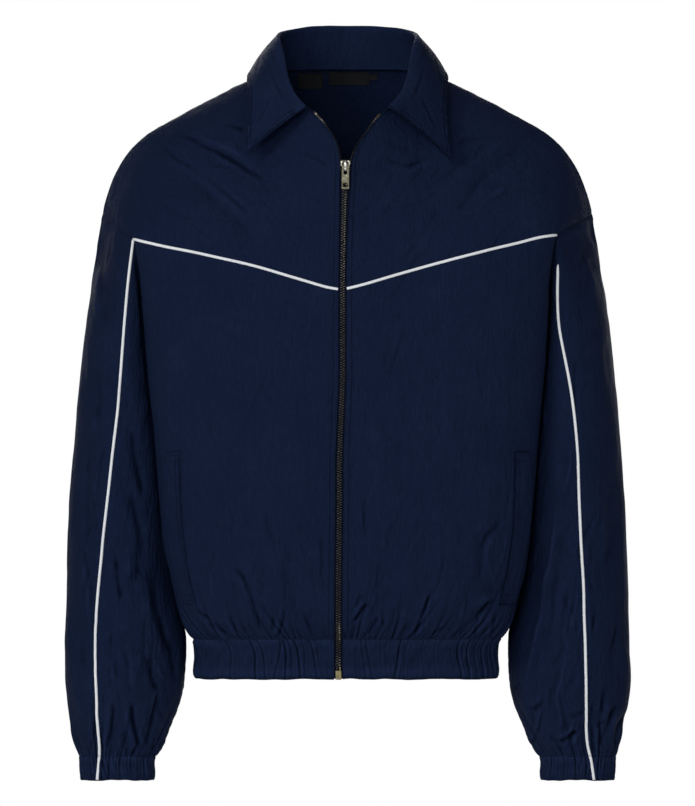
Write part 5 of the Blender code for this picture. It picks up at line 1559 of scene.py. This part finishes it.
def ring_rod(loop, radius, sides=10):
    """A round rod along a closed path that faces -Y."""
    loop = np.asarray(loop, float)
    run = unit(np.roll(loop, -1, axis=0) - np.roll(loop, 1, axis=0))
    verts = rod_points(loop, unit(np.cross(run, (0, 1.0, 0))), np.array([(0, 1.0, 0)]), radius, 1.0, sides)
    return verts, (grid_quads(len(loop) + 1, sides, True) % len(verts)).tolist()


def metal_piece(name, pieces, material, at=(0.0, 0.0, 0.0), body=BODY):
    """Forms joined in one piece of metal, moved by a distance, with sharp edges between its faces."""
    verts, faces = joined(pieces)
    ob = make(name, verts + at, faces, material, body)
    ob.data.set_sharp_from_angle(angle=math.radians(32))
    return ob


SLIDER_TOP, SLIDER_LOW = -80.0, -92.0
PLATE_FACE = -121.0
PIVOT = (PLATE_FACE - 1.0, -90.0)
TAB_LONG = 21.5
MIDDLE_LINE = np.array([ZIP_X, 0.0, 0.0])
crown = [(-5.9, -83.0), (-5.6, -81.2), (-4.4, -80.1), (-2.6, -80.3), (-1.2, -82.0), (0, -82.6), (1.2, -82.0),
         (2.6, -80.3), (4.4, -80.1), (5.6, -81.2), (5.9, -83.0), (5.6, -85.4), (4.3, -87.6), (3.9, -91.4),
         (2.8, -92.0), (-2.8, -92.0), (-3.9, -91.4), (-4.3, -87.6), (-5.6, -85.4)]
front_plate, plate_faces = plate("shield", [crown], 1.6, 0.5)
front_plate[:, 1] += PLATE_FACE + 1.6 + 0.018 * front_plate[:, 0] ** 2
back_outline = rounded(-5.0, 5.0, SLIDER_LOW + 1, SLIDER_TOP, 2.0, taper=1.4)
back_plate, back_faces = plate("back_plate", [back_outline], 1.5, 0.5)
back_plate[:, 1] += -111.2
face_top = np.array((0, PLATE_FACE, SLIDER_TOP))
lobes = []
for s in (-1, 1):
    line = face_top + ((s * 2.9, 1.4, -1.5), (s * 3.9, 0.9, -2.0), (s * 4.3, 0.8, -3.8), (s * 3.6, 1.2, -6.0))
    lobes.append(bar(smooth_path(line, 28), 1.35, 0.9))
arch = face_top + ((0, 0.8, -1.4), (0, -1.2, -1.6), (0, -2.35, -3.0), (0, -2.6, -5.4), (0, -2.5, -8.6),
                   (0, -2.3, -10.8), (0, -1.3, -11.55), (0, 0.6, -11.5))
strap = bar(smooth_path(arch, 28), 0.45, 2.6)
post = rounded_block((2.6, 2.8, 9.4), 0.7)
body = [(front_plate, plate_faces), (back_plate, back_faces), (post[0] + (0, -115.8, SLIDER_TOP - 1.4), post[1])]
made["zip_slider"] = metal_piece("slider_body", body, GUNMETAL, MIDDLE_LINE)
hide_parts("zip_slider")
made["slider_crown"] = metal_piece("slider_crown", lobes + [strap], SILVER, MIDDLE_LINE)

# pull tab: a rounded plate with a raised rim, a slot over the arch and a window near its lower end
top, low = PIVOT[1] + 0.65, PIVOT[1] - TAB_LONG
outline = rounded(-4.2, 4.2, low, top, 1.5)
slot_line = rounded(-1.7, 1.7, PIVOT[1] - 5.4, PIVOT[1] - 0.65, 0.8)[::-1]
window_line = rounded(-2.4, 2.4, PIVOT[1] - 19.3, PIVOT[1] - 15.0, 0.9)[::-1]
tab, tab_faces = plate("tab", [outline, slot_line, window_line], 1.0, 0.3)
tab[:, 1] += PIVOT[0]
rim_lines = []
for line, radius in ((rounded(-3.65, 3.65, low + 0.55, top - 0.55, 1.2), 0.42),
                     (rounded(-2.75, 2.75, PIVOT[1] - 19.65, PIVOT[1] - 14.65, 1.1), 0.3)):
    loop = [(x, PIVOT[0] - 0.42, z) for x, z in line]
    rim_lines.append(ring_rod(loop, radius))
made["zip_pull"] = metal_piece("pull_tab_plate", [(tab, tab_faces)] + rim_lines, ANTIQUE, MIDDLE_LINE, body=TAB)
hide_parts("zip_pull")

# end box and pin at the foot of the zip
box_x = float(spline(ZIP_MIDDLE, 630)[0])
box_y = -float(spline(TORSO, HEM_END)[2]) + 2.6
box, box_faces = plate("box", [rounded(-3.2, 3.2, -HEM_END - 0.2, -HEM_END + 9.6, 0.8)], 2.4, 0.45)
pin, slit = rounded_block((1.5, 5.0, 1.6), 0.3), rounded_block((0.5, 8.0, 0.6), 0.12)
made["zip_end_box"] = metal_piece("end_box", [
    (box + (box_x, box_y - 1.7, 0), box_faces),
    (slit[0] + (box_x + 0.2, box_y - 3.0, -HEM_END + 4.8), slit[1]),
    (pin[0] + (box_x + 1.6, box_y - 1.5, -HEM_END + 11.0), pin[1]),
], BRASS)
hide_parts("zip_end_box")


# ---- pocket welts
# drop, share of the front's half width at the seam edge and at the open edge
WELT = (
    (391, 0.870, 0.938), (415, 0.874, 0.962), (440, 0.878, 0.97), (465, 0.882, 0.975), (495, 0.882, 0.966),
    (525, 0.88, 0.96), (555, 0.875, 0.958),
)


WELT_ROWS, WELT_COLS = 110, 13
swell = np.sin(math.pi * np.linspace(0, 1, WELT_ROWS)) ** 0.5
end = np.minimum(1, np.minimum(np.arange(WELT_ROWS), np.arange(WELT_ROWS)[::-1]) / 2.0)
welt_edges = {}
for side, who in SIDES:
    panel = panels["front_" + who]
    drops = np.linspace(WELT[0][0], WELT[-1][0], WELT_ROWS)
    shares = spline(WELT, drops)
    w = spline(TORSO, drops)[:, 0]
    slack = 0.8 if side > 0 else 0.1
    top, low, ups = [], [], []
    for k in np.linspace(0, 1, WELT_COLS):
        x = side * w * (shares[:, 0] * (1 - k) + shares[:, 1] * k)
        r, c = find(panel, x, drops)
        p, n = sample(panel["outer"], r, c), unit(sample(panel["n"], r, c))
        lift = 0.9 + 0.9 * slack * k + slack * smoothstep((k - 0.8) / 0.2) * swell
        curl = 0.5 * (1 - smoothstep(min(k, 1 - k) / 0.07)) + 0.5 * (1 - end)
        h = lift + 0.55 - curl + 0.3 * ripple(p, 12, 51, (1, 1, 0.6)) + 0.3 * crinkle(p)
        top.append(p + n * h[:, None])
        low.append(p + n * np.minimum(lift - 0.35, h - 0.5)[:, None])
        ups.append(n)
    top, low = np.stack(top, axis=1), np.stack(low, axis=1)
    name = "welt_" + who
    # painted shade along the welt's edges, stronger on the wearer's left welt
    rim = np.zeros((WELT_ROWS, WELT_COLS))
    rim[:, 0] = rim[:, -1] = rim[:2] = rim[-2:] = -0.85 if side > 0 else -0.3
    made[name] = shell(name + "_cloth", top, low, NAVY, shape=rim)
    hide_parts(name)
    welt_edges[who] = (top, np.stack(ups, axis=1))


# ---- bare labels inside the back neck

LABEL_ROWS, LABEL_COLS = 16, 30


def label(name, x0, x1, z0, z1, curl):
    """A small sheet on the inside of the back, between two own x and two heights."""
    panel = panels["back"]
    g, n = panel["base"], panel["n"]
    xs, zs = np.linspace(x0, x1, LABEL_COLS), np.linspace(z0, z1, LABEL_ROWS)
    top_rows = g[:, g.shape[1] // 2, 2]
    points, ups = np.zeros((2, LABEL_ROWS, LABEL_COLS, 3))
    for i, z in enumerate(zs):
        for j, x in enumerate(xs):
            r, c = np.interp(z, top_rows, np.arange(len(top_rows))), g.shape[1] / 2
            for _ in range(5):
                row = int(np.clip(round(r), 0, g.shape[0] - 1))
                line = g[row, :, 0]
                c = np.interp(x, line[50:-50], np.arange(50, g.shape[1] - 50))
                column = g[:, int(round(c)), 2]
                r = np.interp(z, column, np.arange(len(column)))
            r, c = np.array([r]), np.array([c])
            points[i, j] = sample(panel["outer"], r, c)[0]
            ups[i, j] = -unit(sample(n, r, c)[0])
    u, v = np.linspace(-1, 1, LABEL_COLS)[None, :], np.linspace(-1, 1, LABEL_ROWS)[:, None]
    lift = SHEET + 1.5 + curl * (0.35 * u ** 4 + 0.5 * v ** 2) + 0.1 * ripple(points, 6, 61, (1, 1, 1))
    top = points + ups * lift[..., None]
    ob = shell(name + "_cloth", top, top - ups * 0.45, LABEL_CLOTH)
    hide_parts(name)
    return ob, top, ups


label_faces = {}
for name, x0, x1, z0, z1, curl in (
    ("label_wide", -20.5, 23.8, 4.0, 17.5, 0.4),
    ("label_side", -54, -27, 0.0, 16.5, 0.9),
    ("label_tab", 24.4, 32.5, 9.0, 15.5, 0.5),
):
    made[name], *label_faces[name] = label(name, x0, x1, z0, z1, curl)


# ---- sewing

def reached(distances, at, sign=1):
    """Where along a row of distances one is reached; the sign is -1 where they fall."""
    return np.interp(sign * at, sign * distances, np.arange(len(distances)))


def sewn_line(grid, normals, rows, cols):
    """A line of stitches on a grid, at places between its rows and columns."""
    r, c = np.asarray(rows, float), np.asarray(cols, float)
    n = unit(sample(normals, r, c))
    return sample(grid, r, c) + n * 0.12, n


sewn = []
for side, who in SIDES:
    for part, first in (("front_", 2), ("yoke_", 1)):
        panel = panels[part + who]
        dist = edge_distances(panel["outer"])["c"]
        rows = range(first, len(dist) - 1)
        sewn.append(sewn_line(panel["outer"], panel["n"], rows, [reached(dist[r], STITCH_IN) for r in rows]))
    top, ups = welt_edges[who]
    for col in (1, 3):
        sewn.append((top[4:-4, col] + ups[4:-4, col] * 0.1, ups[4:-4, col]))
    for row in (3, 7, -4, -8):
        sewn.append((top[row, 1:-2] + ups[row, 1:-2] * 0.1, ups[row, 1:-2]))

d = edge_distances(seen)
for at in SEWN_IN:
    cols = [c for c in range(seen.shape[1]) if min(d["c"][-1, c], d["C"][-1, c]) >= at]
    sewn.append(sewn_line(seen, collar_up, [reached(d["R"][:, c], at, -1) for c in cols], cols))
    for key, end, sign in (("c", 0, 1), ("C", -1, -1)):
        rows = [r for r in range(LEAF_ROW + 3, seen.shape[0]) if d["R"][r, end] >= at]
        sewn.append(sewn_line(seen, collar_up, rows, [reached(d[key][r], at, sign) for r in rows]))
made["sewing"] = stitches("topstitching", sewn)

label_lines = []
for name, (top, ups) in label_faces.items():
    if name != "label_tab":
        label_lines += [(top[1:-1, 1], ups[1:-1, 1]), (top[1:-1, -2], ups[1:-1, -2])]
    label_lines.append((top[-2, 1:-1], ups[-2, 1:-1]))
label_lines = [(line + up * 0.08, up) for line, up in label_lines]
made["label_sewing"] = stitches("label_stitching", label_lines, length=1.6, pitch=2.3, width=0.35, height=0.12)


# ---- sheets of cloth
# name, with a star for right and left, width and length of the cut, share of it covered, how it is held, what it
# lies on, what is sewn to it
SHEETS = (
    ("front_right", 0.335, 0.500, 0.72, "hung", "yoke_right", "piping_yoke_right"),
    ("front_left", 0.345, 0.500, 0.74, "hung", "yoke_left", "piping_yoke_left"),
    ("yoke_*", 0.375, 0.265, 0.54, "hung", "back", ""),
    ("back", 0.780, 0.690, 0.64, "hung", "collar", ""),
    ("sleeve_*_front", 0.150, 0.585, 0.66, "hung", "front_*", ""),
    ("sleeve_*_back", 0.320, 0.605, 0.79, "hung", "back", "piping_sleeve_*"),
    ("collar", 0.650, 0.125, 0.64, "folded", "yoke_right yoke_left back", "sewing"),
    ("hem_band", 1.150, 0.044, 1.0, "gathered", "front_right front_left back", ""),
    ("cuff_*", 0.300, 0.027, 1.0, "gathered", "sleeve_*_back", "piping_cuff_*"),
    ("welt_*", 0.028, 0.170, 1.0, "laid", "front_*", ""),
    ("zip_tape_*", 0.014, 0.640, 1.0, "hung", "front_*", "zip_teeth_*"),
    ("label_wide", 0.045, 0.015, 1.0, "laid", "back", "label_tab label_sewing"),
    ("label_side", 0.028, 0.019, 1.0, "laid", "back", ""),
)
for row in SHEETS:
    for _, who in SIDES if "*" in row[0] else SIDES[:1]:
        name, wide, long, share, held, rests, others = (v.replace("*", who) if isinstance(v, str) else v for v in row)


# ---- studio

def area_light(name, at, size, power):
    """A rectangular light that faces the garment's middle."""
    data = bpy.data.lights.new(name, "AREA")
    data.shape = "RECTANGLE"
    data.size, data.size_y = size
    data.energy = power
    ob = bpy.data.objects.new(name, data)
    ob.location = at
    ob.rotation_euler = (Vector(MIDDLE) - Vector(at)).to_track_quat("-Z", "Y").to_euler()
    bpy.context.scene.collection.objects.link(ob)


MIDDLE = (0.0, 0.0, -0.34)
area_light("key_light", (-3.2, -4.2, 1.9), (2.2, 2.2), 155)
area_light("fill_light", (3.4, -4.4, 0.6), (2.6, 2.6), 42)
area_light("front_light", (-0.7, -5.2, 0.9), (1.2, 1.2), 98)
area_light("top_light", (0.0, -0.4, 3.0), (2.4, 1.2), 12)
area_light("side_left", (-3.4, -0.6, 0.4), (1.4, 3.0), 3)
area_light("side_right", (3.4, -0.6, 0.4), (1.4, 3.0), 9)
area_light("rear_left", (-1.0, 5.0, 1.4), (2.6, 2.6), 150)
area_light("rear_right", (1.2, 5.0, 0.2), (2.6, 2.6), 70)

FLOOR_DROP = 1.75
verts = [(9.0 * math.cos(k * math.pi / 32), 9.0 * math.sin(k * math.pi / 32), -FLOOR_DROP) for k in range(64)]
mesh = bpy.data.meshes.new("floor")
mesh.from_pydata(verts, [], [list(range(64))])
mesh.materials.append(studio_floor())
floor = bpy.data.objects.new("floor", mesh)
bpy.context.scene.collection.objects.link(floor)

scene = bpy.context.scene
world = bpy.data.worlds.new("studio")
scene.world = world
world.use_nodes = True
tree = world.node_tree
seen_ray = node(tree, "LightPath").outputs["Is Camera Ray"]
strength = spread(tree, seen_ray, 0.0, 1.0, 0.16, 1.0)
background = tree.nodes["Background"]
background.inputs["Color"].default_value = (1.0, 1.0, 1.0, 1.0)
tree.links.new(strength, background.inputs["Strength"])

FAR = 24.0             # from the camera to the garment, so far that the view hardly narrows
view = bpy.data.cameras.new("photo_view")
view.lens = 338.0 * FAR / 7
view.sensor_width = 36.0
view.sensor_fit = "HORIZONTAL"
view.clip_end = 90.0
camera = bpy.data.objects.new("photo_view", view)
camera.location = (0.0, -FAR, -0.3396)
camera.rotation_euler = (math.pi / 2, 0.0, 0.0)
scene.collection.objects.link(camera)
scene.camera = camera
scene.view_settings.view_transform = "Standard"
